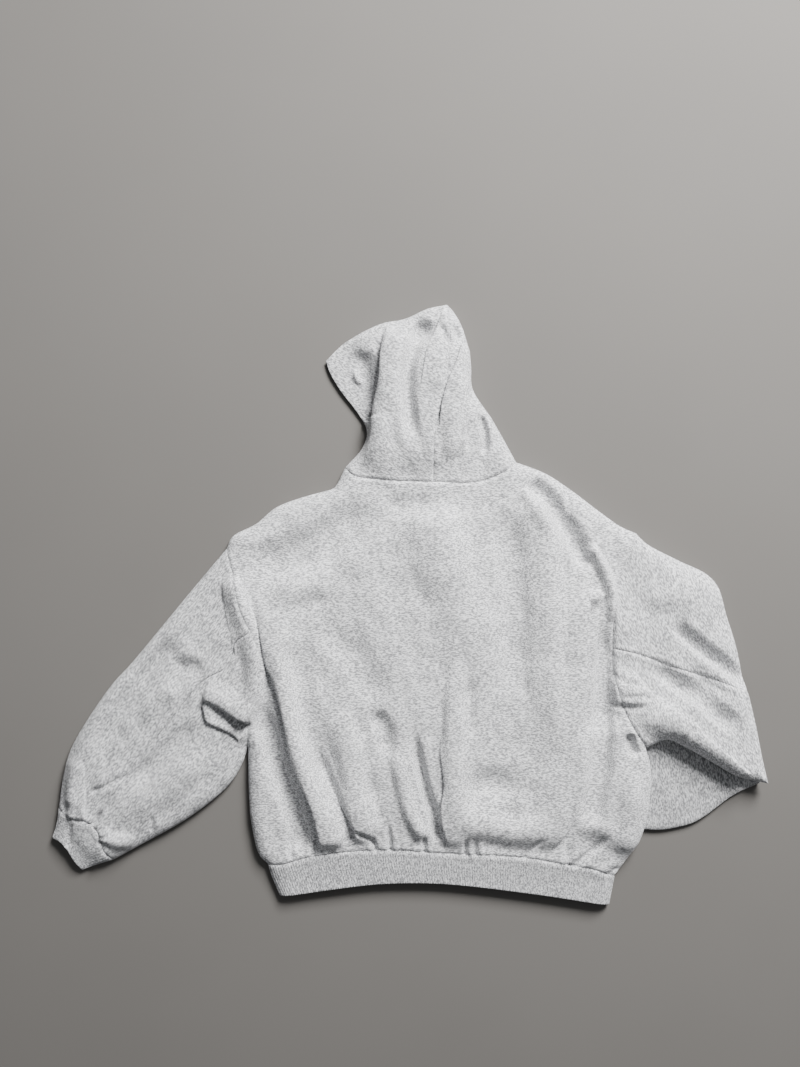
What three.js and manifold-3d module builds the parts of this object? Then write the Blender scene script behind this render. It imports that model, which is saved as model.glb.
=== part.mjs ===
// Zip up hoodie in heavy grey fleece, laid face down on the ground with its back up.
// Millimetres, +Z up. The origin is on the ground under the middle of the garment,
// +Y points from the hem to the hood, and +X to the wearer's right sleeve.
import * as THREE from "three";
import { mergeVertices } from "three/addons/utils/BufferGeometryUtils.js";
import Module from "manifold-3d";

const wasm = await Module();
wasm.setup();

// Cloth
const FLEECE = 2.5;            // thickness of the fleece wall
const RIB = 2.8;               // thickness of the doubled rib wall
const SEAM_GAP = 0.3;          // space between two pieces at a seam
const SEAM_DRAW = 0.165;       // how far each of the two draws back for it, bends allowed for
const CORNER_DRAW = 0.6;       // the same where three or more pieces meet
const FOLD_STOPS = [4, 12];    // distances from a fold line of the two points nearest to it
const EDGE_HEIGHT = 5;         // height of the fold line where the top layer turns under
const TOP_ROUND = 24;          // how far in from the fold line the top layer is still rising
const UNDER_ROUND = 8;         // how far in the lower layer is still leaving the ground
const LOFT = 20;               // usual height of the top layer over the ground
const LEAST_RISE = 1;          // least height of the top layer over its fold line
const LIFT_SHARE = 0.75;       // share of the lower layer's lift that reaches the top layer

// Zip
const ZIP_TOP_Y = 122;
const ZIP_X = 40;
const ZIP_GAP = 10;            // between the two front edges
const TAPE_WIDTH = 14;
const TAPE_THICK = 1;
const TAPE_GAP = 3;            // between the two tapes, filled by the teeth
const TAPE_GROUND = RIB + SEAM_GAP;
const TAPE_END = 5;            // how far the tape ends inside the band's edge
const SLIDER = {
  y: 108,                      // middle of the slider, drawn up to the neck
  width: 9,
  length: 13,
  plate: 1.4,
  post: 2.2,
  postInset: 2,                // how far the post stands in from the ends of the plates
  clearance: 0.4,
  ear: 1.2,
  earGap: 5.2,
  earLength: 5,
  root: 0.2,                   // how deep the post and the ears are rooted in the plates
};
const SLIDER_LIFT = {
  height: 5,                   // how far the fronts lift over the slider and its tab
  y: 96,                       // middle of the lifted area
  radius: 34,
  ramp: 40,
  squeeze: 0.8,                // the area is longer than wide by this
};
const PIN = { radius: 0.8, y: SLIDER.y + 2, z: 4.2, cover: 0.8 };
const PULL = {
  eye: 2.1,
  hole: 1.15,
  eyeWidth: 4.4,
  width: 7,
  length: 27,
  thick: 1.4,
  shoulder: 5,                 // length over which the blade widens
  root: 0.3,                   // how deep the blade is rooted in the eye
  sides: 16,
};

// Folded forearm under the right side
const FOREARM_TOP = 11;
const FOREARM_ROUND = 14;      // how far in from its fold line the forearm is still rising
const FOREARM_LIFT = 11.8;     // height that the layers over the forearm keep
const FOREARM_MARGIN = 14;     // how far that height reaches past the forearm
const FOREARM_RAMP = 36;       // how far the cloth takes to come down to the ground again

// Corners where three or more pieces meet, as [x, y]
const POINT = {
  neckLeft: [-93, 204],
  neckMiddle: [38, 182],
  neckRight: [162, 212],
  shoulderLeft: [-270, 83],
  shoulderRight: [341, 106],
  underarmLeft: [-238, -212],
  underarmRight: [352, -211],
  seamLeft: [-232, -40],
  seamRight: [304, -65],
  hemLeft: [-209, -386],
  hemRight: [309, -404],
  bandLeft: [-191, -433],
  bandRight: [301, -446],
  cuffOuterLeft: [-520, -302],
  cuffSeamLeft: [-465, -325],
  cuffInnerLeft: [-437, -380],
  mouthOuterLeft: [-530, -347],
  mouthInnerLeft: [-484, -396],
  elbowRight: [533, -264],
  seamEndRight: [503, -128],
  sleeveBendRight: [476, -18],
  hoodTop: [59, 447],
  hoodCorner: [93, 377],
  lobeTip: [-122, 363],
  faceTop: [48, 372],
  zipHem: [ZIP_X + 6, -368],
  zipBottom: [ZIP_X + 8, -413],
};

// Numbers of cells along the shared edges
const CELLS = {
  shoulder: 11,
  neck: 8,
  armTop: 5,
  armUnder: 6,
  side: 10,
  sleeve: 15,
  upperArm: 11,
  hoodSide: 12,
  faceTop: 3,
  band: 4,
  cuff: 4,
  forearm: 9,
};

// Edges and seams between the corners. "round" marks an end that lies on a fold line, where
// the cells are closer together.
const EDGES = {
  shoulderLeft: { from: "shoulderLeft", to: "neckLeft", cells: CELLS.shoulder,
    via: [[-261, 101], [-226, 120], [-197, 144], [-159, 159], [-119, 170], [-110, 173]] },
  neckLeft: { from: "neckLeft", to: "neckMiddle", cells: CELLS.neck, round: "start",
    via: [[-81, 192], [-47, 186], [-6, 183]] },
  neckRight: { from: "neckMiddle", to: "neckRight", cells: CELLS.neck, round: "end",
    via: [[93, 181], [122, 187], [146, 199]] },
  shoulderRight: { from: "neckRight", to: "shoulderRight", cells: CELLS.shoulder,
    via: [[206, 195], [243, 171], [288, 137], [318, 116]] },
  armTopLeft: { from: "shoulderLeft", to: "seamLeft", cells: CELLS.armTop, round: "start",
    via: [[-259, 48], [-247, -6]] },
  armUnderLeft: { from: "seamLeft", to: "underarmLeft", cells: CELLS.armUnder,
    via: [[-222, -74], [-219, -111], [-227, -155], [-236, -184]] },
  armTopRight: { from: "shoulderRight", to: "seamRight", cells: CELLS.armTop, round: "start",
    via: [[329, 80], [309, 19], [304, -27]] },
  armUnderRight: { from: "seamRight", to: "underarmRight", cells: CELLS.armUnder,
    via: [[305, -102], [314, -139], [330, -178]] },
  sideLeft: { from: "underarmLeft", to: "hemLeft", cells: CELLS.side,
    via: [[-237, -277], [-233, -328], [-221, -374]] },
  sideRight: { from: "underarmRight", to: "hemRight", cells: CELLS.side,
    via: [[360, -246], [355, -309], [347, -339], [331, -373]] },
  sleeveOuterLeft: { from: "shoulderLeft", to: "cuffOuterLeft", cells: CELLS.sleeve,
    via: [[-327, 15], [-412, -88], [-442, -121], [-501, -213], [-513, -253]] },
  sleeveInnerLeft: { from: "underarmLeft", to: "cuffInnerLeft", cells: CELLS.sleeve,
    via: [[-247, -238], [-266, -269], [-323, -316], [-404, -362]] },
  sleeveSeamLeft: { from: "seamLeft", to: "cuffSeamLeft", cells: CELLS.sleeve,
    via: [[-254, -56], [-268, -92], [-303, -113], [-355, -176], [-410, -245]] },
  cuffTopLeft: { from: "cuffOuterLeft", to: "cuffSeamLeft", cells: CELLS.armTop, round: "start",
    via: [[-498, -316], [-479, -320]] },
  cuffUnderLeft: { from: "cuffSeamLeft", to: "cuffInnerLeft", cells: CELLS.armUnder, round: "end",
    via: [[-454, -345], [-449, -363]] },
  mouthTopLeft: { from: "mouthOuterLeft", to: [-504, -364], cells: CELLS.armTop, round: "start",
    via: [[-516, -352]] },
  mouthUnderLeft: { from: [-504, -364], to: "mouthInnerLeft", cells: CELLS.armUnder, round: "end",
    via: [[-495, -381]] },
  cuffOuterSideLeft: { from: "cuffOuterLeft", to: "mouthOuterLeft", cells: CELLS.cuff,
    via: [[-523, -325]] },
  cuffInnerSideLeft: { from: "cuffInnerLeft", to: "mouthInnerLeft", cells: CELLS.cuff,
    via: [[-461, -387]] },
  armOutlineRight: { from: "shoulderRight", to: "sleeveBendRight", cells: CELLS.upperArm,
    via: [[356, 91], [405, 65], [446, 45], [463, 26]] },
  sleeveSeamRight: { from: "seamRight", to: "seamEndRight", cells: CELLS.upperArm, round: "end",
    via: [[338, -72], [394, -92], [450, -109]] },
  armLowerRight: { from: "underarmRight", to: "elbowRight", cells: CELLS.upperArm,
    via: [[384, -199], [410, -210], [453, -234], [487, -253]] },
  elbowUpperRight: { from: "sleeveBendRight", to: "seamEndRight", cells: CELLS.armTop,
    via: [[490, -63]] },
  elbowLowerRight: { from: "seamEndRight", to: "elbowRight", cells: CELLS.armUnder,
    via: [[515, -180], [524, -226]] },
  hem: { from: "hemLeft", to: "hemRight", cells: 2 * (CELLS.shoulder + CELLS.neck), round: "both",
    via: [[-188, -385], [-138, -372], [-47, -363], [59, -368], [178, -375], [240, -386], [271, -391]] },
  bandBottom: { from: "bandLeft", to: "bandRight", cells: 2 * (CELLS.shoulder + CELLS.neck),
    round: "both", via: [[-100, -420], [-48, -414], [5, -412], [64, -414], [199, -430]] },
  bandSideLeft: { from: "hemLeft", to: "bandLeft", cells: CELLS.band, via: [[-203, -405]] },
  bandSideRight: { from: "hemRight", to: "bandRight", cells: CELLS.band, via: [[305, -425]] },
  hoodSideLeft: { from: "neckLeft", to: "lobeTip", cells: CELLS.hoodSide,
    via: [[-68, 233], [-61, 260], [-103, 323], [-116, 345]] },
  hoodTopLeft: { from: "lobeTip", to: "hoodTop", cells: CELLS.neck,
    via: [[-95, 389], [-41, 418], [-4, 426], [30, 441]] },
  hoodSideRight: { from: "neckRight", to: "hoodCorner", cells: CELLS.hoodSide,
    via: [[128, 273], [97, 322], [95, 354]] },
  hoodTopRight: { from: "hoodTop", to: "hoodCorner", cells: CELLS.neck,
    via: [[68, 437], [80, 417]] },
  hoodSeam: { from: "neckMiddle", to: "hoodTop", cells: CELLS.hoodSide, round: "end",
    via: [[39, 259], [43, 287], [56, 343], [62, 400]] },
  necklineLeft: { from: "neckLeft", to: [ZIP_X - ZIP_GAP / 2, ZIP_TOP_Y], cells: CELLS.neck,
    round: "start", via: [[-66, 158], [-20, 130]] },
  necklineRight: { from: "neckRight", to: [ZIP_X + ZIP_GAP / 2, ZIP_TOP_Y], cells: CELLS.neck,
    round: "start", via: [[140, 164], [98, 132]] },
  faceEdgeLeft: { from: [ZIP_X - ZIP_GAP / 2, ZIP_TOP_Y], to: "faceTop",
    cells: CELLS.hoodSide - CELLS.faceTop, via: [[15, 200], [12, 300]] },
  faceEdgeRight: { from: [ZIP_X + ZIP_GAP / 2, ZIP_TOP_Y], to: "faceTop",
    cells: CELLS.hoodSide - CELLS.faceTop, via: [[62, 200], [70, 300]] },
  faceSeam: { from: "faceTop", to: "hoodTop", cells: CELLS.faceTop, via: [[54, 410]] },
};

// Folded right forearm and its cuff
const FOREARM = {
  elbowTop: [499, -150],
  elbowTip: [527, -266],
  seamTop: [342, -196],
  seamBottom: [338, -334],
  mouthTop: [284, -212],
  mouthBottom: [282, -306],
};
const FOREARM_EDGES = {
  fold: { from: FOREARM.elbowTop, to: FOREARM.elbowTip, cells: 8, round: "both",
    via: [[511, -200]] },
  lower: { from: FOREARM.seamBottom, to: FOREARM.elbowTip, cells: CELLS.forearm, round: "end",
    via: [[373, -337], [402, -333], [431, -324], [488, -284]] },
  upper: { from: FOREARM.seamTop, to: FOREARM.elbowTop, cells: CELLS.forearm, round: "end",
    via: [[420, -170]] },
  seam: { from: FOREARM.seamTop, to: FOREARM.seamBottom, cells: 8, round: "both",
    via: [[336, -265]] },
  mouth: { from: FOREARM.mouthTop, to: FOREARM.mouthBottom, cells: 8, round: "both",
    via: [[280, -259]] },
  cuffUpper: { from: FOREARM.seamTop, to: FOREARM.mouthTop, cells: CELLS.cuff, via: [[312, -206]] },
  cuffLower: { from: FOREARM.seamBottom, to: FOREARM.mouthBottom, cells: CELLS.cuff,
    via: [[309, -318]] },
};

// Folds of the top layer. A line is walked from its first point; rise is above (or, below zero,
// under) the usual height, left and right are how far it reaches to each side, and fade is the
// length over which it dies away at its start and end.
const FOLDS = [
  { name: "left roll", rise: 15, left: 26, right: 60, fade: [8, 60],
    line: [[-126, -365], [-142, -295], [-172, -220], [-186, -172], [-208, -105], [-215, -60], [-248, 45]] },
  { name: "left gap", rise: -7, left: 22, right: 18, fade: [70, 40],
    line: [[-180, -260], [-196, -200], [-210, -150], [-223, -95], [-229, -50]] },
  { name: "second valley", rise: -8, left: 22, right: 22, fade: [5, 60],
    line: [[-73, -362], [-107, -286], [-134, -235], [-157, -180]] },
  { name: "middle fold", rise: -9, left: 20, right: 20, fade: [5, 110],
    line: [[56, -360], [48, -300], [46, -240], [45, -108], [40, 0]] },
  { name: "panel between the folds", rise: 5, left: 30, right: 40, fade: [10, 120],
    line: [[20, -362], [10, -280], [-20, -160], [-50, -40]] },
  { name: "right roll", rise: 12, left: 62, right: 24, fade: [8, 60],
    line: [[204, -370], [225, -345], [250, -276], [256, -185], [261, -107], [264, -20]] },
  { name: "right valley", rise: -7, left: 16, right: 24, fade: [10, 70],
    line: [[232, -372], [262, -320], [275, -240], [279, -120], [277, -20]] },
  { name: "right diagonal", rise: -7, left: 9, right: 9, fade: [5, 30],
    line: [[254, -380], [270, -360], [296, -330]] },
  { name: "hem swell", rise: 6, left: 18, right: 26, fade: [60, 60],
    line: [[110, -352], [150, -330], [200, -335]] },
  { name: "left half swell", rise: 5, left: 16, right: 22, fade: [40, 50],
    line: [[-60, -345], [-25, -335], [20, -350]] },
  { name: "hollow under the neck", rise: -4, left: 40, right: 45, fade: [60, 60],
    line: [[-190, 80], [-110, 100], [-30, 145]] },
  { name: "middle ridge", rise: 5, left: 40, right: 45, fade: [50, 80],
    line: [[92, -110], [85, -86], [55, 33], [-4, 150]] },
  { name: "cross hollow", rise: -5, left: 16, right: 28, fade: [40, 40],
    line: [[-105, -42], [-60, -62], [-10, -95]] },
  { name: "right shoulder hollow", rise: -5, left: 18, right: 22, fade: [40, 20],
    line: [[270, 50], [225, 135], [197, 160], [172, 186]] },
  { name: "right shoulder ridge", rise: 4, left: 30, right: 14, fade: [60, 20],
    line: [[214, 70], [200, 114], [166, 172]] },
  { name: "right armhole ridge", rise: 6, left: 10, right: 26, fade: [40, 20],
    line: [[303, 0], [290, 53], [266, 90]] },
  { name: "strip along the left armhole", rise: 11, left: 18, right: 30, fade: [10, 20],
    line: [[-243, -98], [-254, -62], [-266, -10], [-270, 55]] },
  { name: "left underarm flap", rise: 11, left: 18, right: 42, fade: [6, 10],
    line: [[-244, -168], [-270, -152], [-296, -137]] },
  { name: "left sleeve dimple", rise: -6, left: 18, right: 18, fade: [20, 20],
    line: [[-340, -104], [-318, -96], [-296, -90]] },
  { name: "left sleeve middle", rise: 5, left: 45, right: 45, fade: [60, 90],
    line: [[-440, -280], [-380, -170], [-320, -60]] },
  { name: "left cuff valley", rise: -6, left: 12, right: 14, fade: [8, 40],
    line: [[-470, -322], [-474, -270], [-474, -205]] },
  { name: "cuff lies flatter than the sleeve", rise: -8, left: 62, right: 62, fade: [0.1, 0.1],
    line: [[-540, -352], [-480, -402]] },
  { name: "right sleeve ridge", rise: 8, left: 48, right: 16, fade: [20, 40],
    line: [[505, -244], [456, -200], [427, -174], [380, -134], [345, -100]] },
  { name: "right sleeve crease", rise: -5, left: 14, right: 20, fade: [30, 40],
    line: [[484, -109], [461, -89], [422, -58], [394, -36]] },
  { name: "hood body", rise: 12, left: 80, right: 70, fade: [70, 70],
    line: [[35, 190], [35, 300], [30, 420]] },
  { name: "hood left edge", rise: 11, left: 18, right: 42, fade: [40, 30],
    line: [[-57, 262], [-48, 305], [-43, 340], [-40, 384], [-28, 408]] },
  { name: "lobe hollow", rise: -8, left: 22, right: 12, fade: [20, 20],
    line: [[-66, 290], [-72, 330], [-62, 372]] },
  { name: "hood valley", rise: -10, left: 22, right: 18, fade: [50, 20],
    line: [[6, 233], [0, 290], [2, 360], [18, 400], [38, 428]] },
  { name: "hood right ridge", rise: 7, left: 15, right: 26, fade: [40, 30],
    line: [[44, 277], [51, 307], [63, 338], [76, 385]] },
  { name: "hood right crease", rise: -6, left: 14, right: 16, fade: [20, 10],
    line: [[84, 232], [88, 284], [91, 320]] },
];

// Gathers where the back is drawn into the hem band
const GATHERS = [
  { x: -160, length: 34, depth: 6, slant: -4 },
  { x: -137, length: 26, depth: 5, slant: 0 },
  { x: -100, length: 30, depth: 5, slant: 4 },
  { x: -48, length: 44, depth: 7, slant: -14 },
  { x: -25, length: 42, depth: 6, slant: 2 },
  { x: 2, length: 70, depth: 7, slant: -10 },
  { x: 84, length: 24, depth: 5, slant: 2 },
  { x: 102, length: 22, depth: 5, slant: 2 },
  { x: 128, length: 34, depth: 6, slant: 14 },
  { x: 172, length: 30, depth: 6, slant: 16 },
  { x: 236, length: 30, depth: 5, slant: 6 },
];
const GATHER_WIDTH = 14;
const GATHER_BAND = { reach: 12, ramp: 8 };  // how a gather dies away on the band
const HEM_Y = -372;
const HEM_DROP = 4;            // how much lower the back is where it meets the band
const HEM_REACH = 50;          // length over which it comes down
const BAND_DROP = 3;           // and how much lower again the band's edge is
const BAND_REACH = 45;
const TRUNK_LEFT = { x: -270, ramp: 60 };  // the left sleeve, beyond, keeps its height

const lerp = (from, to, t) => from + (to - from) * t;
const smooth = (t) => {
  const held = Math.min(1, Math.max(0, t));
  return held * held * (3 - 2 * held);
};

// Evenly spaced points along a smooth curve, closer together at an end marked round
function sampleEdge(edge) {
  const place = (key) => (typeof key === "string" ? POINT[key] : key);
  const points = [place(edge.from), ...edge.via, place(edge.to)];
  const curve = new THREE.CatmullRomCurve3(
    points.map(([x, y]) => new THREE.Vector3(x, y, 0)), false, "centripetal");
  curve.arcLengthDivisions = 400;
  const [firstStop, secondStop] = FOLD_STOPS.map((stop) => stop / curve.getLength());
  const atStart = edge.round === "start" || edge.round === "both";
  const atEnd = edge.round === "end" || edge.round === "both";
  const first = atStart ? secondStop : 0;
  const last = atEnd ? 1 - secondStop : 1;
  const plain = edge.cells - (atStart ? 2 : 0) - (atEnd ? 2 : 0);
  const stops = atStart ? [0, firstStop] : [];
  for (let i = 0; i <= plain; i += 1) {
    stops.push(first + ((last - first) * i) / plain);
  }
  if (atEnd) {
    stops.push(1 - firstStop, 1);
  }
  return stops.map((stop) => {
    const point = curve.getPointAt(Math.min(1, stop));
    return [point.x, point.y];
  });
}

const edgePoints = {};
for (const [name, edge] of Object.entries({ ...EDGES, ...FOREARM_EDGES })) {
  edgePoints[name] = sampleEdge(edge);
}
const along = (...names) => {
  const points = [];
  for (const name of names) {
    const backwards = name.startsWith("-");
    const part = edgePoints[backwards ? name.slice(1) : name];
    const ordered = backwards ? [...part].reverse() : part;
    points.push(...(points.length ? ordered.slice(1) : ordered));
  }
  return points;
};

// Nearest place on a polyline: distance, side (above zero to the right) and length walked
function nearest(line, x, y) {
  let best = { distance: Infinity, side: 0, walked: 0 };
  let walked = 0;
  for (let i = 0; i + 1 < line.length; i += 1) {
    const [ax, ay] = line[i];
    const dx = line[i + 1][0] - ax;
    const dy = line[i + 1][1] - ay;
    const length = Math.hypot(dx, dy);
    const t = Math.min(1, Math.max(0, ((x - ax) * dx + (y - ay) * dy) / (length * length)));
    const distance = Math.hypot(x - ax - t * dx, y - ay - t * dy);
    if (distance < best.distance) {
      const side = Math.sign((x - ax) * dy - (y - ay) * dx);
      best = { distance, side, walked: walked + t * length };
    }
    walked += length;
  }
  return { ...best, length: walked };
}

const FOLD_LINES = ["shoulderLeft", "shoulderRight", "sideLeft", "sideRight", "sleeveOuterLeft",
  "sleeveInnerLeft", "cuffOuterSideLeft", "cuffInnerSideLeft", "armOutlineRight", "armLowerRight",
  "elbowUpperRight", "elbowLowerRight", "bandSideLeft", "bandSideRight", "hoodSideLeft",
  "hoodTopLeft", "hoodSideRight", "hoodTopRight"];
const outlineDistance = (x, y) =>
  Math.min(...FOLD_LINES.map((name) => nearest(edgePoints[name], x, y).distance));

const forearmOutline = along("upper", "fold", "-lower", "cuffLower", "-mouth", "-cuffUpper");
const insideForearm = (x, y) => {
  let inside = false;
  for (let i = 0, j = forearmOutline.length - 1; i < forearmOutline.length; j = i, i += 1) {
    const [ax, ay] = forearmOutline[i];
    const [bx, by] = forearmOutline[j];
    if (ay > y !== by > y && x < ((bx - ax) * (y - ay)) / (by - ay) + ax) {
      inside = !inside;
    }
  }
  return inside;
};

// How far the garment is held off the ground by the forearm under it and by the zip's slider
function lift(x, y) {
  const away = insideForearm(x, y) ? 0 : nearest(forearmOutline, x, y).distance;
  const arm = FOREARM_LIFT * smooth(1 - (away - FOREARM_MARGIN) / FOREARM_RAMP);
  const fromZip = Math.hypot(x - ZIP_X, (y - SLIDER_LIFT.y) * SLIDER_LIFT.squeeze);
  const zip = smooth(1 - (fromZip - SLIDER_LIFT.radius) / SLIDER_LIFT.ramp);
  return Math.max(arm, SLIDER_LIFT.height * zip);
}

const bell = (t) => (Math.abs(t) < 1 ? (1 - t * t) ** 2 : 0);

function foldRelief(x, y) {
  let total = 0;
  for (const fold of FOLDS) {
    const near = nearest(fold.line, x, y);
    const width = near.side < 0 ? fold.left : fold.right;
    const start = smooth(near.walked / fold.fade[0]);
    const end = smooth((near.length - near.walked) / fold.fade[1]);
    total += fold.rise * bell(near.distance / width) * Math.min(start, end);
  }
  for (const gather of GATHERS) {
    const up = (y - HEM_Y) / gather.length;
    if (up < 1) {
      const across = (x - gather.x - gather.slant * Math.max(0, up)) / GATHER_WIDTH;
      const onBand = smooth((y - HEM_Y + GATHER_BAND.reach) / GATHER_BAND.ramp);
      total -= gather.depth * bell(across) * smooth(1 - up) * onBand;
    }
  }
  return total;
}

function topHeight(x, y) {
  const edge = EDGE_HEIGHT + lift(x, y);
  const onTrunk = smooth((x - TRUNK_LEFT.x) / TRUNK_LEFT.ramp);
  const toHem = HEM_DROP * smooth(1 - (y - HEM_Y) / HEM_REACH) * onTrunk;
  const toBand = BAND_DROP * smooth((HEM_Y - y) / BAND_REACH);
  const full = LOFT - toHem - toBand + lift(x, y) * LIFT_SHARE + foldRelief(x, y);
  const inwards = Math.min(1, outlineDistance(x, y) / TOP_ROUND);
  return edge + Math.max(LEAST_RISE, full - edge) * Math.sqrt(1 - (1 - inwards) ** 2);
}

function underHeight(x, y) {
  const inwards = Math.min(1, outlineDistance(x, y) / UNDER_ROUND);
  return lift(x, y) + EDGE_HEIGHT * (1 - Math.sqrt(1 - (1 - inwards) ** 2));
}

const forearmSides = ["fold", "lower", "upper", "cuffUpper", "cuffLower"];
const forearmDistance = (x, y) =>
  Math.min(...forearmSides.map((name) => nearest(edgePoints[name], x, y).distance));

function forearmTop(x, y) {
  const inwards = Math.min(1, forearmDistance(x, y) / FOREARM_ROUND);
  return EDGE_HEIGHT + (FOREARM_TOP - EDGE_HEIGHT) * Math.sqrt(1 - (1 - inwards) ** 2);
}

function forearmUnder(x, y) {
  const inwards = Math.min(1, forearmDistance(x, y) / UNDER_ROUND);
  return EDGE_HEIGHT * (1 - Math.sqrt(1 - (1 - inwards) ** 2));
}

// Share of the whole length reached at each point
function shares(points) {
  const reached = [0];
  for (let i = 1; i < points.length; i += 1) {
    const [ax, ay] = points[i - 1];
    const [bx, by] = points[i];
    reached.push(reached[i - 1] + Math.hypot(bx - ax, by - ay));
  }
  return reached.map((value) => value / reached[reached.length - 1]);
}

// A four sided patch between its edges, as rows of [x, y, z] from the bottom edge to the top
// edge. The outer face looks up, or down where it faces the ground.
function patch(bottom, top, left, right, height, facing) {
  const low = shares(bottom);
  const high = shares(top);
  const near = shares(left);
  const far = shares(right);
  const [a, b] = [bottom[0], bottom[bottom.length - 1]];
  const [c, d] = [top[0], top[top.length - 1]];
  const rows = left.map((start, j) => bottom.map((_, i) => {
    const u = (low[i] + high[i]) / 2;
    const v = (near[j] + far[j]) / 2;
    const [x, y] = [0, 1].map((k) => (1 - v) * bottom[i][k] + v * top[i][k]
      + (1 - u) * start[k] + u * right[j][k]
      - (1 - u) * (1 - v) * a[k] - u * (1 - v) * b[k] - (1 - u) * v * c[k] - u * v * d[k]);
    return [x, y, height(x, y)];
  }));
  return { rows, facing };
}

const up = (bottom, top, left, right) => patch(bottom, top, left, right, topHeight, "up");
const down = (bottom, top, left, right) => patch(bottom, top, left, right, underHeight, "down");

const half = CELLS.shoulder + CELLS.neck;
const underHemLeft = along("hem").slice(0, 1).concat(
  sampleEdge({ from: "hemLeft", to: [POINT.zipHem[0] - ZIP_GAP / 2, POINT.zipHem[1]],
    cells: half, round: "start", via: [[-138, -372], [-47, -363]] }).slice(1));
const underHemRight = along("hem").slice(-1).concat(
  sampleEdge({ from: "hemRight", to: [POINT.zipHem[0] + ZIP_GAP / 2, POINT.zipHem[1]],
    cells: half, round: "start", via: [[240, -386], [178, -375]] }).slice(1));
const underBandLeft = sampleEdge({ from: "bandLeft",
  to: [POINT.zipBottom[0] - ZIP_GAP / 2, POINT.zipBottom[1]], cells: half, round: "start",
  via: [[-100, -420], [5, -412]] });
const underBandRight = sampleEdge({ from: "bandRight",
  to: [POINT.zipBottom[0] + ZIP_GAP / 2, POINT.zipBottom[1]], cells: half, round: "start",
  via: [[199, -430], [124, -420]] });
const straight = (from, to, cells) => sampleEdge({ from, to, cells, via: [] });

const pieces = {
  back: {
    thickness: FLEECE,
    patches: [up(along("hem"), along("shoulderLeft", "neckLeft", "neckRight", "shoulderRight"),
      along("-sideLeft", "-armUnderLeft", "-armTopLeft"),
      along("-sideRight", "-armUnderRight", "-armTopRight"))],
  },
  front_left: {
    thickness: FLEECE,
    patches: [down(underHemLeft, along("shoulderLeft", "necklineLeft"),
      along("-sideLeft", "-armUnderLeft", "-armTopLeft"),
      straight(underHemLeft[half], [ZIP_X - ZIP_GAP / 2, ZIP_TOP_Y],
        CELLS.side + CELLS.armTop + CELLS.armUnder))],
  },
  front_right: {
    thickness: FLEECE,
    patches: [down(underHemRight, along("-shoulderRight", "necklineRight"),
      along("-sideRight", "-armUnderRight", "-armTopRight"),
      straight(underHemRight[half], [ZIP_X + ZIP_GAP / 2, ZIP_TOP_Y],
        CELLS.side + CELLS.armTop + CELLS.armUnder))],
  },
  hood_left: {
    thickness: FLEECE,
    patches: [
      up(along("neckLeft"), along("hoodTopLeft"), along("hoodSideLeft"), along("hoodSeam")),
      down(along("necklineLeft"), along("hoodTopLeft"), along("hoodSideLeft"),
        along("faceEdgeLeft", "faceSeam")),
    ],
  },
  hood_right: {
    thickness: FLEECE,
    patches: [
      up(along("neckRight"), along("hoodTopRight"), along("hoodSeam"), along("hoodSideRight")),
      down(along("necklineRight"), along("-hoodTopRight"), along("hoodSideRight"),
        along("faceEdgeRight", "faceSeam")),
    ],
  },
  sleeve_left_top: {
    thickness: FLEECE,
    patches: [
      up(along("armTopLeft"), along("cuffTopLeft"), along("sleeveOuterLeft"),
        along("sleeveSeamLeft")),
      down(along("armTopLeft"), along("cuffTopLeft"), along("sleeveOuterLeft"),
        along("sleeveSeamLeft")),
    ],
  },
  sleeve_left_under: {
    thickness: FLEECE,
    patches: [
      up(along("armUnderLeft"), along("cuffUnderLeft"), along("sleeveSeamLeft"),
        along("sleeveInnerLeft")),
      down(along("armUnderLeft"), along("cuffUnderLeft"), along("sleeveSeamLeft"),
        along("sleeveInnerLeft")),
    ],
  },
  cuff_left: {
    thickness: RIB,
    patches: [
      up(along("cuffTopLeft", "cuffUnderLeft"), along("mouthTopLeft", "mouthUnderLeft"),
        along("cuffOuterSideLeft"), along("cuffInnerSideLeft")),
      down(along("cuffTopLeft", "cuffUnderLeft"), along("mouthTopLeft", "mouthUnderLeft"),
        along("cuffOuterSideLeft"), along("cuffInnerSideLeft")),
    ],
  },
  sleeve_right_top: {
    thickness: FLEECE,
    patches: [
      up(along("armTopRight"), along("elbowUpperRight"), along("armOutlineRight"),
        along("sleeveSeamRight")),
      down(along("armTopRight"), along("elbowUpperRight"), along("armOutlineRight"),
        along("sleeveSeamRight")),
    ],
  },
  sleeve_right_under: {
    thickness: FLEECE,
    patches: [
      up(along("armUnderRight"), along("elbowLowerRight"), along("sleeveSeamRight"),
        along("armLowerRight")),
      down(along("armUnderRight"), along("elbowLowerRight"), along("sleeveSeamRight"),
        along("armLowerRight")),
    ],
  },
  sleeve_right_forearm: {
    thickness: FLEECE,
    patches: ["up", "down"].map((facing) => patch(along("seam"), along("fold"), along("upper"),
      along("lower"), facing === "up" ? forearmTop : forearmUnder, facing)),
  },
  cuff_right: {
    thickness: FLEECE,
    patches: ["up", "down"].map((facing) => patch(along("seam"), along("mouth"),
      along("cuffUpper"), along("cuffLower"),
      facing === "up" ? forearmTop : forearmUnder, facing)),
  },
  hem_band: {
    thickness: RIB,
    patches: [
      up(along("hem"), along("bandBottom"), along("bandSideLeft"), along("bandSideRight")),
      down(underHemLeft, underBandLeft, along("bandSideLeft"),
        straight(underHemLeft[half], underBandLeft[half], CELLS.band)),
      down(underHemRight, underBandRight, along("bandSideRight"),
        straight(underHemRight[half], underBandRight[half], CELLS.band)),
    ],
  },
};

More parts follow.
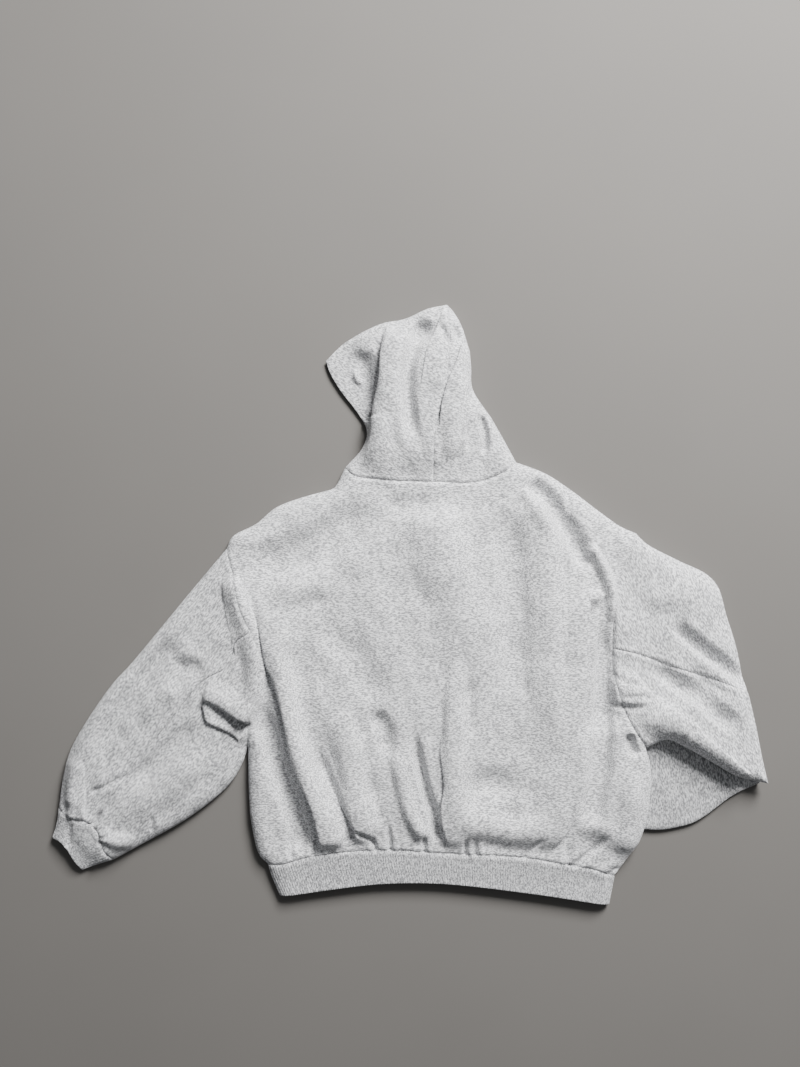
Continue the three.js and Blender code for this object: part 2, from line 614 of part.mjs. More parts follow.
// Zip tapes lie on the inner face of the fronts and of the band
const zipX = (y) => (y > POINT.zipHem[1]
  ? lerp(POINT.zipHem[0], ZIP_X, (y - POINT.zipHem[1]) / (ZIP_TOP_Y - POINT.zipHem[1]))
  : lerp(POINT.zipBottom[0], POINT.zipHem[0],
    (y - POINT.zipBottom[1]) / (POINT.zipHem[1] - POINT.zipBottom[1])));
const tapeHeight = (x, y) => lift(x, y) + TAPE_GROUND + TAPE_THICK;

const tapeStops = [POINT.zipBottom[1] + TAPE_END, lerp(POINT.zipBottom[1], POINT.zipHem[1], 0.6),
  ...straight(underHemLeft[half], [ZIP_X, ZIP_TOP_Y - 1],
    CELLS.side + CELLS.armTop + CELLS.armUnder).map(([, y]) => y)];
for (const [name, side] of [["zip_tape_left", -1], ["zip_tape_right", 1]]) {
  const edge = (offset) => tapeStops.map((y) => [zipX(y) + side * offset, y]);
  const nearEdge = edge(TAPE_GAP / 2);
  const farEdge = edge(TAPE_GAP / 2 + TAPE_WIDTH);
  const across = (row) => [nearEdge[row], farEdge[row]];
  pieces[name] = {
    thickness: TAPE_THICK,
    patches: [patch(across(0), across(nearEdge.length - 1), nearEdge, farEdge, tapeHeight, "up")],
  };
}

// Quads of a patch, wound so that the outer face looks the way the patch says
function patchQuads(part) {
  const quads = [];
  let area = 0;
  for (let j = 0; j + 1 < part.rows.length; j += 1) {
    for (let i = 0; i + 1 < part.rows[j].length; i += 1) {
      const ring = [part.rows[j][i], part.rows[j][i + 1], part.rows[j + 1][i + 1],
        part.rows[j + 1][i]];
      ring.forEach(([x, y], k) => {
        const [nextX, nextY] = ring[(k + 1) % 4];
        area += x * nextY - nextX * y;
      });
      quads.push(ring);
    }
  }
  const turned = area > 0 !== (part.facing === "up");
  return turned ? quads.map((ring) => [...ring].reverse()) : quads;
}

const keyOf = ([x, y, z]) => `${x.toFixed(2)},${y.toFixed(2)},${z.toFixed(2)}`;

// Normals are taken over the whole sewn garment, so that the walls of two pieces end in
// parallel faces at their seam
const garmentNormals = new Map();
const quadsByPiece = {};
const usersOfPoint = new Map();
for (const [name, piece] of Object.entries(pieces)) {
  quadsByPiece[name] = piece.patches.flatMap(patchQuads);
  for (const ring of quadsByPiece[name]) {
    const [a, b, c, d] = ring.map((point) => new THREE.Vector3(...point));
    const normal = c.clone().sub(a).cross(d.clone().sub(b));
    for (const point of ring) {
      const key = keyOf(point);
      if (!garmentNormals.has(key)) {
        garmentNormals.set(key, new THREE.Vector3());
        usersOfPoint.set(key, new Set());
      }
      garmentNormals.get(key).add(normal);
      usersOfPoint.get(key).add(name);
    }
  }
}

const isCorner = (at) => [...Object.values(POINT), ...Object.values(FOREARM)].some(
  ([x, y]) => Math.hypot(at.x - x, at.y - y) < 0.01);

// A closed wall: the outer face, the same face moved in by the thickness, and a rim between
// them along every free edge
function wallGeometry(name, thickness) {
  const keys = new Map();
  const outer = [];
  const faces = quadsByPiece[name].map((ring) => ring.map((point) => {
    const key = keyOf(point);
    if (!keys.has(key)) {
      keys.set(key, outer.length);
      outer.push({ key, at: new THREE.Vector3(...point), ways: [] });
    }
    return keys.get(key);
  }));
  const edges = new Map();
  for (const face of faces) {
    face.forEach((from, k) => {
      const to = face[(k + 1) % face.length];
      edges.set(`${from}>${to}`, [from, to]);
    });
  }
  const rim = [...edges.values()].filter(([from, to]) => !edges.has(`${to}>${from}`));
  for (const [from, to] of rim) {
    const way = outer[to].at.clone().sub(outer[from].at).normalize();
    outer[from].ways.push(way);
    outer[to].ways.push(way);
  }
  const positions = [];
  const inner = [];
  outer.forEach((point) => {
    const normal = garmentNormals.get(point.key).clone();
    if (outlineDistance(point.at.x, point.at.y) < 0.01 && !name.endsWith("forearm")
      && name !== "cuff_right") {
      normal.z = 0;
    }
    normal.normalize();
    const at = point.at.clone();
    if (point.ways.length && usersOfPoint.get(point.key).size > 1) {
      const sides = point.ways.map((way) => normal.clone().cross(way).normalize());
      const inwards = sides[0].clone().add(sides[1]).normalize();
      const draw = isCorner(at) ? CORNER_DRAW : SEAM_DRAW;
      at.addScaledVector(inwards, draw / Math.max(0.4, inwards.dot(sides[0])));
    }
    positions.push(at);
    const inside = at.clone().addScaledVector(normal, -thickness);
    inside.z = Math.max(0, inside.z);
    inner.push(inside);
  });
  const count = positions.length;
  const triangles = [];
  for (const [a, b, c, d] of faces) {
    triangles.push([a, b, c], [a, c, d]);
    triangles.push([a + count, c + count, b + count], [a + count, d + count, c + count]);
  }
  for (const [from, to] of rim) {
    if (outer[from].key < outer[to].key) {
      triangles.push([from, from + count, to], [to, from + count, to + count]);
    } else {
      triangles.push([from, to + count, to], [from, from + count, to + count]);
    }
  }
  const geometry = new THREE.BufferGeometry();
  const flat = [...positions, ...inner].flatMap((point) => [point.x, point.y, point.z]);
  geometry.setAttribute("position", new THREE.Float32BufferAttribute(flat, 3));
  geometry.setIndex(triangles.flat());
  return geometry;
}

const CLOTH_COLOUR = {
  fleece: new THREE.MeshStandardMaterial({ color: 0xb9b9ba, roughness: 0.95, metalness: 0 }),
  rib: new THREE.MeshStandardMaterial({ color: 0xaeaeaf, roughness: 0.95, metalness: 0 }),
  tape: new THREE.MeshStandardMaterial({ color: 0x9b9b9c, roughness: 0.85, metalness: 0 }),
  metal: new THREE.MeshStandardMaterial({ color: 0xc4c4c2, roughness: 0.32, metalness: 1 }),
};

const hoodie = new THREE.Group();

function addPiece(name, geometry, material) {
  const mesh = new THREE.Mesh(geometry, material.clone());
  mesh.name = name;
  hoodie.add(mesh);
  return mesh;
}

// Joins closed geometries into one solid
function join(geometries) {
  const solids = geometries.map((geometry) => {
    const bare = geometry.clone();
    bare.deleteAttribute("normal");
    bare.deleteAttribute("uv");
    const merged = mergeVertices(bare, 1e-4);
    return new wasm.Manifold(new wasm.Mesh({
      numProp: 3,
      vertProperties: new Float32Array(merged.attributes.position.array),
      triVerts: new Uint32Array(merged.index.array),
    }));
  });
  const mesh = solids.reduce((sum, solid) => sum.add(solid)).getMesh();
  const geometry = new THREE.BufferGeometry();
  geometry.setAttribute("position", new THREE.Float32BufferAttribute(mesh.vertProperties, 3));
  geometry.setIndex([...mesh.triVerts]);
  return geometry;
}

// A block between two corners
function block(low, high) {
  const geometry = new THREE.BoxGeometry(high[0] - low[0], high[1] - low[1], high[2] - low[2]);
  return geometry.translate((low[0] + high[0]) / 2, (low[1] + high[1]) / 2, (low[2] + high[2]) / 2);
}

// A profile drawn in y and z, as thick as width, centred on the zip
function profileAcross(shape, width) {
  const geometry = new THREE.ExtrudeGeometry(shape, { depth: width, bevelEnabled: false,
    curveSegments: 8 });
  geometry.rotateY(Math.PI / 2);
  geometry.rotateX(Math.PI / 2);
  return geometry.translate(zipX(SLIDER.y) - width / 2, 0, 0);
}

function sliderGeometry() {
  const x = zipX(SLIDER.y);
  const tapeUnder = TAPE_GROUND + SLIDER_LIFT.height;
  const [back, front] = [SLIDER.y - SLIDER.length / 2, SLIDER.y + SLIDER.length / 2];
  const half = SLIDER.width / 2;
  const lowTop = tapeUnder - SLIDER.clearance;
  const lowUnder = lowTop - SLIDER.plate;
  const highUnder = tapeUnder + TAPE_THICK + SLIDER.clearance;
  const highTop = highUnder + SLIDER.plate;
  const pieceList = [
    block([x - half, back, lowUnder], [x + half, front, lowTop]),
    block([x - half, back, highUnder], [x + half, front, highTop]),
    block([x - SLIDER.post / 2, back + SLIDER.postInset, lowTop - SLIDER.root],
      [x + SLIDER.post / 2, front - SLIDER.postInset, highUnder + SLIDER.root]),
  ];
  for (const side of [-1, 1]) {
    const inside = x + (side * SLIDER.earGap) / 2;
    const outside = inside + side * SLIDER.ear;
    pieceList.push(block(
      [Math.min(inside, outside), PIN.y - SLIDER.earLength / 2, PIN.z - PIN.radius - PIN.cover],
      [Math.max(inside, outside), PIN.y + SLIDER.earLength / 2, lowUnder + SLIDER.root]));
  }
  const pinLength = SLIDER.earGap + SLIDER.ear;
  const pin = new THREE.CylinderGeometry(PIN.radius, PIN.radius, pinLength, 12);
  pieceList.push(pin.rotateZ(Math.PI / 2).translate(x, PIN.y, PIN.z));
  return join(pieceList);
}

// The tab's eye goes round the slider's pin, and its blade lies under the zip towards the hem
function pullGeometry() {
  const circle = (radius) => Array.from({ length: PULL.sides }, (_, i) => {
    const angle = (2 * Math.PI * i) / PULL.sides;
    return new THREE.Vector2(PIN.y + radius * Math.cos(angle), PIN.z + radius * Math.sin(angle));
  });
  const ring = new THREE.Shape(circle(PULL.eye));
  ring.holes.push(new THREE.Path(circle(PULL.hole)));
  const x = zipX(SLIDER.y);
  const blade = new THREE.Shape();
  const near = PIN.y - PULL.hole - PULL.root;
  const far = PIN.y - PULL.length;
  const half = PULL.width / 2;
  blade.moveTo(x - PULL.eyeWidth / 2, near);
  blade.lineTo(x - half, near - PULL.shoulder);
  blade.absarc(x, far + half, half, Math.PI, 2 * Math.PI);
  blade.lineTo(x + half, near - PULL.shoulder);
  blade.lineTo(x + PULL.eyeWidth / 2, near);
  const plate = new THREE.ExtrudeGeometry(blade, { depth: PULL.thick, bevelEnabled: false,
    curveSegments: 8 });
  plate.translate(0, 0, PIN.z - PULL.thick);
  return join([profileAcross(ring, PULL.eyeWidth), plate]);
}

for (const [name, piece] of Object.entries(pieces)) {
  const rib = name.startsWith("cuff") || name === "hem_band";
  const cloth = rib ? CLOTH_COLOUR.rib : CLOTH_COLOUR.fleece;
  addPiece(name, wallGeometry(name, piece.thickness),
    name.startsWith("zip") ? CLOTH_COLOUR.tape : cloth);
}
addPiece("zip_slider", sliderGeometry(), CLOTH_COLOUR.metal);
addPiece("zip_pull", pullGeometry(), CLOTH_COLOUR.metal);

export default hoodie;
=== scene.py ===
"""Looks for a zip up hoodie in heavy heather grey fleece, laid face down on a plain floor.

Tables and functions work in millimetres, and meshes are written in metres. The garment lies in
the part's own frame: +Y from the hem to the hood, +X to the wearer's right sleeve, +Z up.
"""

import math

import bpy
import numpy as np
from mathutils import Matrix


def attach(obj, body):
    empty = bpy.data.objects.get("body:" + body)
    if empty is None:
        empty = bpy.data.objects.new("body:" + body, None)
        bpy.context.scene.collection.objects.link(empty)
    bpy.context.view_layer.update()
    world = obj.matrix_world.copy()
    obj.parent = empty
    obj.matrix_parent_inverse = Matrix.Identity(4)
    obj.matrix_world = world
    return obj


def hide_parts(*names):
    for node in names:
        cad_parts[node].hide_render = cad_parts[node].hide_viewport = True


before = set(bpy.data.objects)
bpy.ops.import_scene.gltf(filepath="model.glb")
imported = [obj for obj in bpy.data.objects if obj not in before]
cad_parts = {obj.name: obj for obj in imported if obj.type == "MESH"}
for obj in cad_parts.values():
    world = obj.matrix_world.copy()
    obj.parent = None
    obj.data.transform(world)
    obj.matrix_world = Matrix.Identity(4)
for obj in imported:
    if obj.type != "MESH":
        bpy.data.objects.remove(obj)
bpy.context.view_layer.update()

MM = 0.001
SEED = 11

# Camera over the middle of the picture
CAMERA = {"x": -11.25, "y": 105.75, "z": 1200.0, "lens": 27.0}

# Cloth
SHELL = 1.5                 # thickness of the thin shells
RIB_SHELL = 1.6
EDGE_HEIGHT = 5.0           # height of the fold line where the top layer turns under
TOP_ROUND = 24.0            # how far in from the fold line the top layer is still rising
UNDER_ROUND = 8.0
LOFT = 20.0                 # usual height of the top layer over the ground
LEAST_RISE = 1.0
MOST_RISE = 36.0            # the highest folds level off towards this rise
LIFT_SHARE = 0.75           # share of the lower layer's lift that reaches the top layer
SEAM = {"depth": 1.5, "width": 1.7, "pucker": 0.5, "pitch": 17.0, "reach": 9.0}

# Zip and the layers over it
ZIP = {"x": 40.0, "top": 122.0, "hem": -368.0, "bottom": -413.0, "slant": 6.0, "band_slant": 2.0}
SLIDER_LIFT = {"height": 5.0, "y": 96.0, "radius": 34.0, "ramp": 40.0, "squeeze": 0.8}

TEETH = {"start": -406.0, "end": 96.0, "pitch": 1.5, "offset": 0.9, "long": 3.0, "wide": 1.0,
         "thick": 1.6, "height": 3.6}

# Folded forearm under the right side
FOREARM_TOP = 11.0
FOREARM_ROUND = 14.0
FOREARM_LIFT = 11.8
FOREARM_MARGIN = 14.0
FOREARM_RAMP = 36.0

# Rib of the hem band and of the cuffs
RIB = {"pitch": 3.8, "depth": 0.45, "cells": 5}

HEM_Y = -372.0
HEM_DROP = 2.5
HEM_REACH = 50.0
BAND_DROP = 3.0
BAND_REACH = 45.0
TRUNK_LEFT = {"x": -270.0, "ramp": 60.0}

# Corners where pieces meet, as (x, y)
POINT = {
    "neckLeft": (-93, 204), "neckMiddle": (38, 182), "neckRight": (162, 212),
    "shoulderLeft": (-270, 83), "shoulderRight": (341, 106),
    "underarmLeft": (-238, -212), "underarmRight": (352, -211),
    "seamLeft": (-232, -40), "seamRight": (304, -65),
    "hemLeft": (-209, -386), "hemRight": (309, -404),
    "bandLeft": (-191, -433), "bandRight": (301, -446),
    "cuffOuterLeft": (-520, -302), "cuffSeamLeft": (-465, -325), "cuffInnerLeft": (-437, -380),
    "mouthOuterLeft": (-530, -347), "mouthMiddleLeft": (-504, -364), "mouthInnerLeft": (-484, -396),
    "elbowRight": (533, -264), "seamEndRight": (503, -128), "sleeveBendRight": (476, -18),
    "hoodTop": (59, 447), "hoodCorner": (93, 377), "lobeTip": (-122, 363), "faceTop": (48, 372),
    "zipHem": (46, -368), "zipBottom": (48, -413),
}

# Edges and seams: from, to, points on the way
EDGES = {
    "shoulderLeft": ("shoulderLeft", "neckLeft",
                     [(-261, 101), (-226, 120), (-197, 144), (-159, 159), (-119, 170), (-110, 173)]),
    "neckLeft": ("neckLeft", "neckMiddle", [(-81, 192), (-47, 186), (-6, 183)]),
    "neckRight": ("neckMiddle", "neckRight", [(93, 181), (122, 187), (146, 199)]),
    "shoulderRight": ("neckRight", "shoulderRight", [(206, 195), (243, 171), (288, 137), (318, 116)]),
    "armTopLeft": ("shoulderLeft", "seamLeft", [(-259, 48), (-247, -6)]),
    "armUnderLeft": ("seamLeft", "underarmLeft", [(-222, -74), (-219, -111), (-227, -155), (-236, -184)]),
    "armTopRight": ("shoulderRight", "seamRight", [(329, 80), (309, 19), (304, -27)]),
    "armUnderRight": ("seamRight", "underarmRight", [(305, -102), (314, -139), (330, -178)]),
    "sideLeft": ("underarmLeft", "hemLeft", [(-237, -277), (-233, -328), (-221, -374)]),
    "sideRight": ("underarmRight", "hemRight", [(360, -246), (355, -309), (347, -339), (331, -373)]),
    "sleeveOuterLeft": ("shoulderLeft", "cuffOuterLeft",
                        [(-327, 15), (-412, -88), (-442, -121), (-501, -213), (-513, -253)]),
    "sleeveInnerLeft": ("underarmLeft", "cuffInnerLeft",
                        [(-247, -238), (-266, -269), (-323, -316), (-404, -362)]),
    "sleeveSeamLeft": ("seamLeft", "cuffSeamLeft",
                       [(-254, -56), (-268, -92), (-303, -113), (-355, -176), (-410, -245)]),
    "cuffTopLeft": ("cuffOuterLeft", "cuffSeamLeft", [(-498, -316), (-479, -320)]),
    "cuffUnderLeft": ("cuffSeamLeft", "cuffInnerLeft", [(-454, -345), (-449, -363)]),
    "mouthTopLeft": ("mouthOuterLeft", "mouthMiddleLeft", [(-516, -352)]),
    "mouthUnderLeft": ("mouthMiddleLeft", "mouthInnerLeft", [(-495, -381)]),
    "cuffOuterSideLeft": ("cuffOuterLeft", "mouthOuterLeft", [(-523, -325)]),
    "cuffInnerSideLeft": ("cuffInnerLeft", "mouthInnerLeft", [(-461, -387)]),
    "armOutlineRight": ("shoulderRight", "sleeveBendRight",
                        [(356, 91), (405, 65), (446, 45), (463, 26)]),
    "sleeveSeamRight": ("seamRight", "seamEndRight", [(338, -72), (394, -92), (450, -109)]),
    "armLowerRight": ("underarmRight", "elbowRight",
                      [(384, -199), (410, -210), (453, -234), (487, -253)]),
    "elbowUpperRight": ("sleeveBendRight", "seamEndRight", [(490, -63)]),
    "elbowLowerRight": ("seamEndRight", "elbowRight", [(515, -180), (524, -226)]),
    "hem": ("hemLeft", "hemRight", [(-188, -385), (-138, -372), (-47, -363), (59, -368),
                                    (178, -375), (240, -386), (271, -391)]),
    "bandBottom": ("bandLeft", "bandRight", [(-100, -420), (-48, -414), (5, -412), (64, -414),
                                             (199, -430)]),
    "bandSideLeft": ("hemLeft", "bandLeft", [(-203, -405)]),
    "bandSideRight": ("hemRight", "bandRight", [(305, -425)]),
    "hoodSideLeft": ("neckLeft", "lobeTip", [(-68, 233), (-61, 260), (-103, 323), (-116, 345)]),
    "hoodTopLeft": ("lobeTip", "hoodTop", [(-95, 389), (-41, 418), (-4, 426), (30, 441)]),
    "hoodSideRight": ("neckRight", "hoodCorner", [(128, 273), (97, 322), (95, 354)]),
    "hoodTopRight": ("hoodTop", "hoodCorner", [(68, 437), (80, 417)]),
    "hoodSeam": ("neckMiddle", "hoodTop", [(39, 259), (43, 287), (56, 343), (62, 400)]),
    "necklineLeft": ("neckLeft", (35, 122), [(-66, 158), (-20, 130)]),
    "necklineRight": ("neckRight", (45, 122), [(140, 164), (98, 132)]),
    "faceEdgeLeft": ((35, 122), "faceTop", [(15, 200), (12, 300)]),
    "faceEdgeRight": ((45, 122), "faceTop", [(62, 200), (70, 300)]),
    "faceSeam": ("faceTop", "hoodTop", [(54, 410)]),
    "underHemLeft": ("hemLeft", (41, -368), [(-138, -372), (-47, -363)]),
    "underHemRight": ("hemRight", (51, -368), [(240, -386), (178, -375)]),
    "underBandLeft": ("bandLeft", (43, -413), [(-100, -420), (5, -412)]),
    "underBandRight": ("bandRight", (53, -413), [(199, -430), (124, -420)]),
    "frontEdgeLeft": ((41, -368), (35, 122), []),
    "frontEdgeRight": ((51, -368), (45, 122), []),
    "bandEndLeft": ((41, -368), (43, -413), []),
    "bandEndRight": ((51, -368), (53, -413), []),
    # The folded right forearm
    "foreFold": ((499, -150), (527, -266), [(511, -200)]),
    "foreLower": ((338, -334), (527, -266), [(373, -337), (402, -333), (431, -324), (488, -284)]),
    "foreUpper": ((342, -196), (499, -150), [(420, -170)]),
    "foreSeam": ((342, -196), (338, -334), [(336, -265)]),
    "foreMouth": ((284, -212), (282, -306), [(280, -259)]),
    "foreCuffUpper": ((342, -196), (284, -212), [(312, -206)]),
    "foreCuffLower": ((338, -334), (282, -306), [(309, -318)]),
}
SILHOUETTE = ["shoulderLeft", "shoulderRight", "sideLeft", "sideRight", "sleeveOuterLeft",
              "sleeveInnerLeft", "cuffOuterSideLeft", "cuffInnerSideLeft", "armOutlineRight",
              "armLowerRight", "elbowUpperRight", "elbowLowerRight", "bandSideLeft",
              "bandSideRight", "hoodSideLeft", "hoodTopLeft", "hoodSideRight", "hoodTopRight"]
SEAMS = ["neckLeft", "neckRight", "armTopLeft", "armUnderLeft", "armTopRight", "armUnderRight",
         "sleeveSeamLeft", "sleeveSeamRight", "cuffTopLeft", "cuffUnderLeft", "hem", "hoodSeam"]


def smooth(t):
    t = np.clip(t, 0.0, 1.0)
    return t * t * (3 - 2 * t)


def bell(t):
    return np.where(np.abs(t) < 1, (1 - np.minimum(t * t, 1)) ** 2, 0.0)


def spline(points, step=2.0):
    """Dense points along a smooth centripetal curve through the given ones."""
    p = np.array(points, float)
    if len(p) == 2:
        count = max(2, int(np.linalg.norm(p[1] - p[0]) / step) + 1)
        return p[0] + np.linspace(0, 1, count)[:, None] * (p[1] - p[0])
    p = np.vstack([2 * p[0] - p[1], p, 2 * p[-1] - p[-2]])
    out = []
    for i in range(1, len(p) - 2):
        p0, p1, p2, p3 = p[i - 1:i + 3]
        d0, d1, d2 = (max(1e-4, np.linalg.norm(b - a)) ** 0.5 for a, b in ((p0, p1), (p1, p2), (p2, p3)))
        m1 = ((p1 - p0) / d0 - (p2 - p0) / (d0 + d1) + (p2 - p1) / d1) * d1
        m2 = ((p2 - p1) / d1 - (p3 - p1) / (d1 + d2) + (p3 - p2) / d2) * d1
        count = max(3, int(np.linalg.norm(p2 - p1) / step) + 1)
        t = np.linspace(0, 1, count, endpoint=False)[:, None]
        out.append((2 * t**3 - 3 * t**2 + 1) * p1 + (t**3 - 2 * t**2 + t) * m1
                   + (3 * t**2 - 2 * t**3) * p2 + (t**3 - t**2) * m2)
    out.append(p[-2][None])
    return np.vstack(out)


def reach(points):
    """Length walked at each point."""
    return np.concatenate([[0.0], np.cumsum(np.linalg.norm(np.diff(points, axis=0), axis=1))])


def place(key):
    return POINT[key] if isinstance(key, str) else key


CURVE = {name: spline([place(a), *via, place(b)]) for name, (a, b, via) in EDGES.items()}


def along(*names):
    """Curves end to end. A minus sign turns one round."""
    parts = [CURVE[n[1:]][::-1] if n.startswith("-") else CURVE[n] for n in names]
    return np.vstack([parts[0]] + [part[1:] for part in parts[1:]])


def cut(curve, start, end):
    """The stretch of a curve between the places nearest to two points."""
    a = int(np.argmin(np.linalg.norm(curve - np.array(start, float), axis=1)))
    b = int(np.argmin(np.linalg.norm(curve - np.array(end, float), axis=1)))
    return curve[a:b + 1] if a < b else curve[b:a + 1][::-1]


def resample(curve, shares):
    walked = reach(curve)
    at = np.asarray(shares) * walked[-1]
    return np.stack([np.interp(at, walked, curve[:, 0]), np.interp(at, walked, curve[:, 1])], 1)


def near(line, x, y):
    """Nearest place on a polyline: signed distance (above zero on the right), length walked and
    the unit normal, which points to the right."""
    a, b = line[:-1], line[1:]
    way = b - a
    length = np.linalg.norm(way, axis=1)
    best = np.full(x.shape, np.inf)
    seg = np.zeros(x.shape, int)
    part = np.zeros(x.shape)
    for i in range(len(a)):
        t = np.clip(((x - a[i, 0]) * way[i, 0] + (y - a[i, 1]) * way[i, 1]) / length[i]**2, 0, 1)
        gap = (x - a[i, 0] - t * way[i, 0])**2 + (y - a[i, 1] - t * way[i, 1])**2
        closer = gap < best
        best = np.where(closer, gap, best)
        seg = np.where(closer, i, seg)
        part = np.where(closer, t, part)
    tangent = way / length[:, None]
    corner = np.vstack([tangent[:1], tangent[:-1] + tangent[1:], tangent[-1:]])
    corner /= np.linalg.norm(corner, axis=1)[:, None]
    bent = corner[seg] * (1 - part)[..., None] + corner[seg + 1] * part[..., None]
    bent /= np.linalg.norm(bent, axis=-1)[..., None]
    side = np.sign((x - a[seg, 0]) * way[seg, 1] - (y - a[seg, 1]) * way[seg, 0])
    walked = reach(line)[seg] + part * length[seg]
    return side * np.sqrt(best), walked, np.stack([bent[..., 1], -bent[..., 0]], -1)


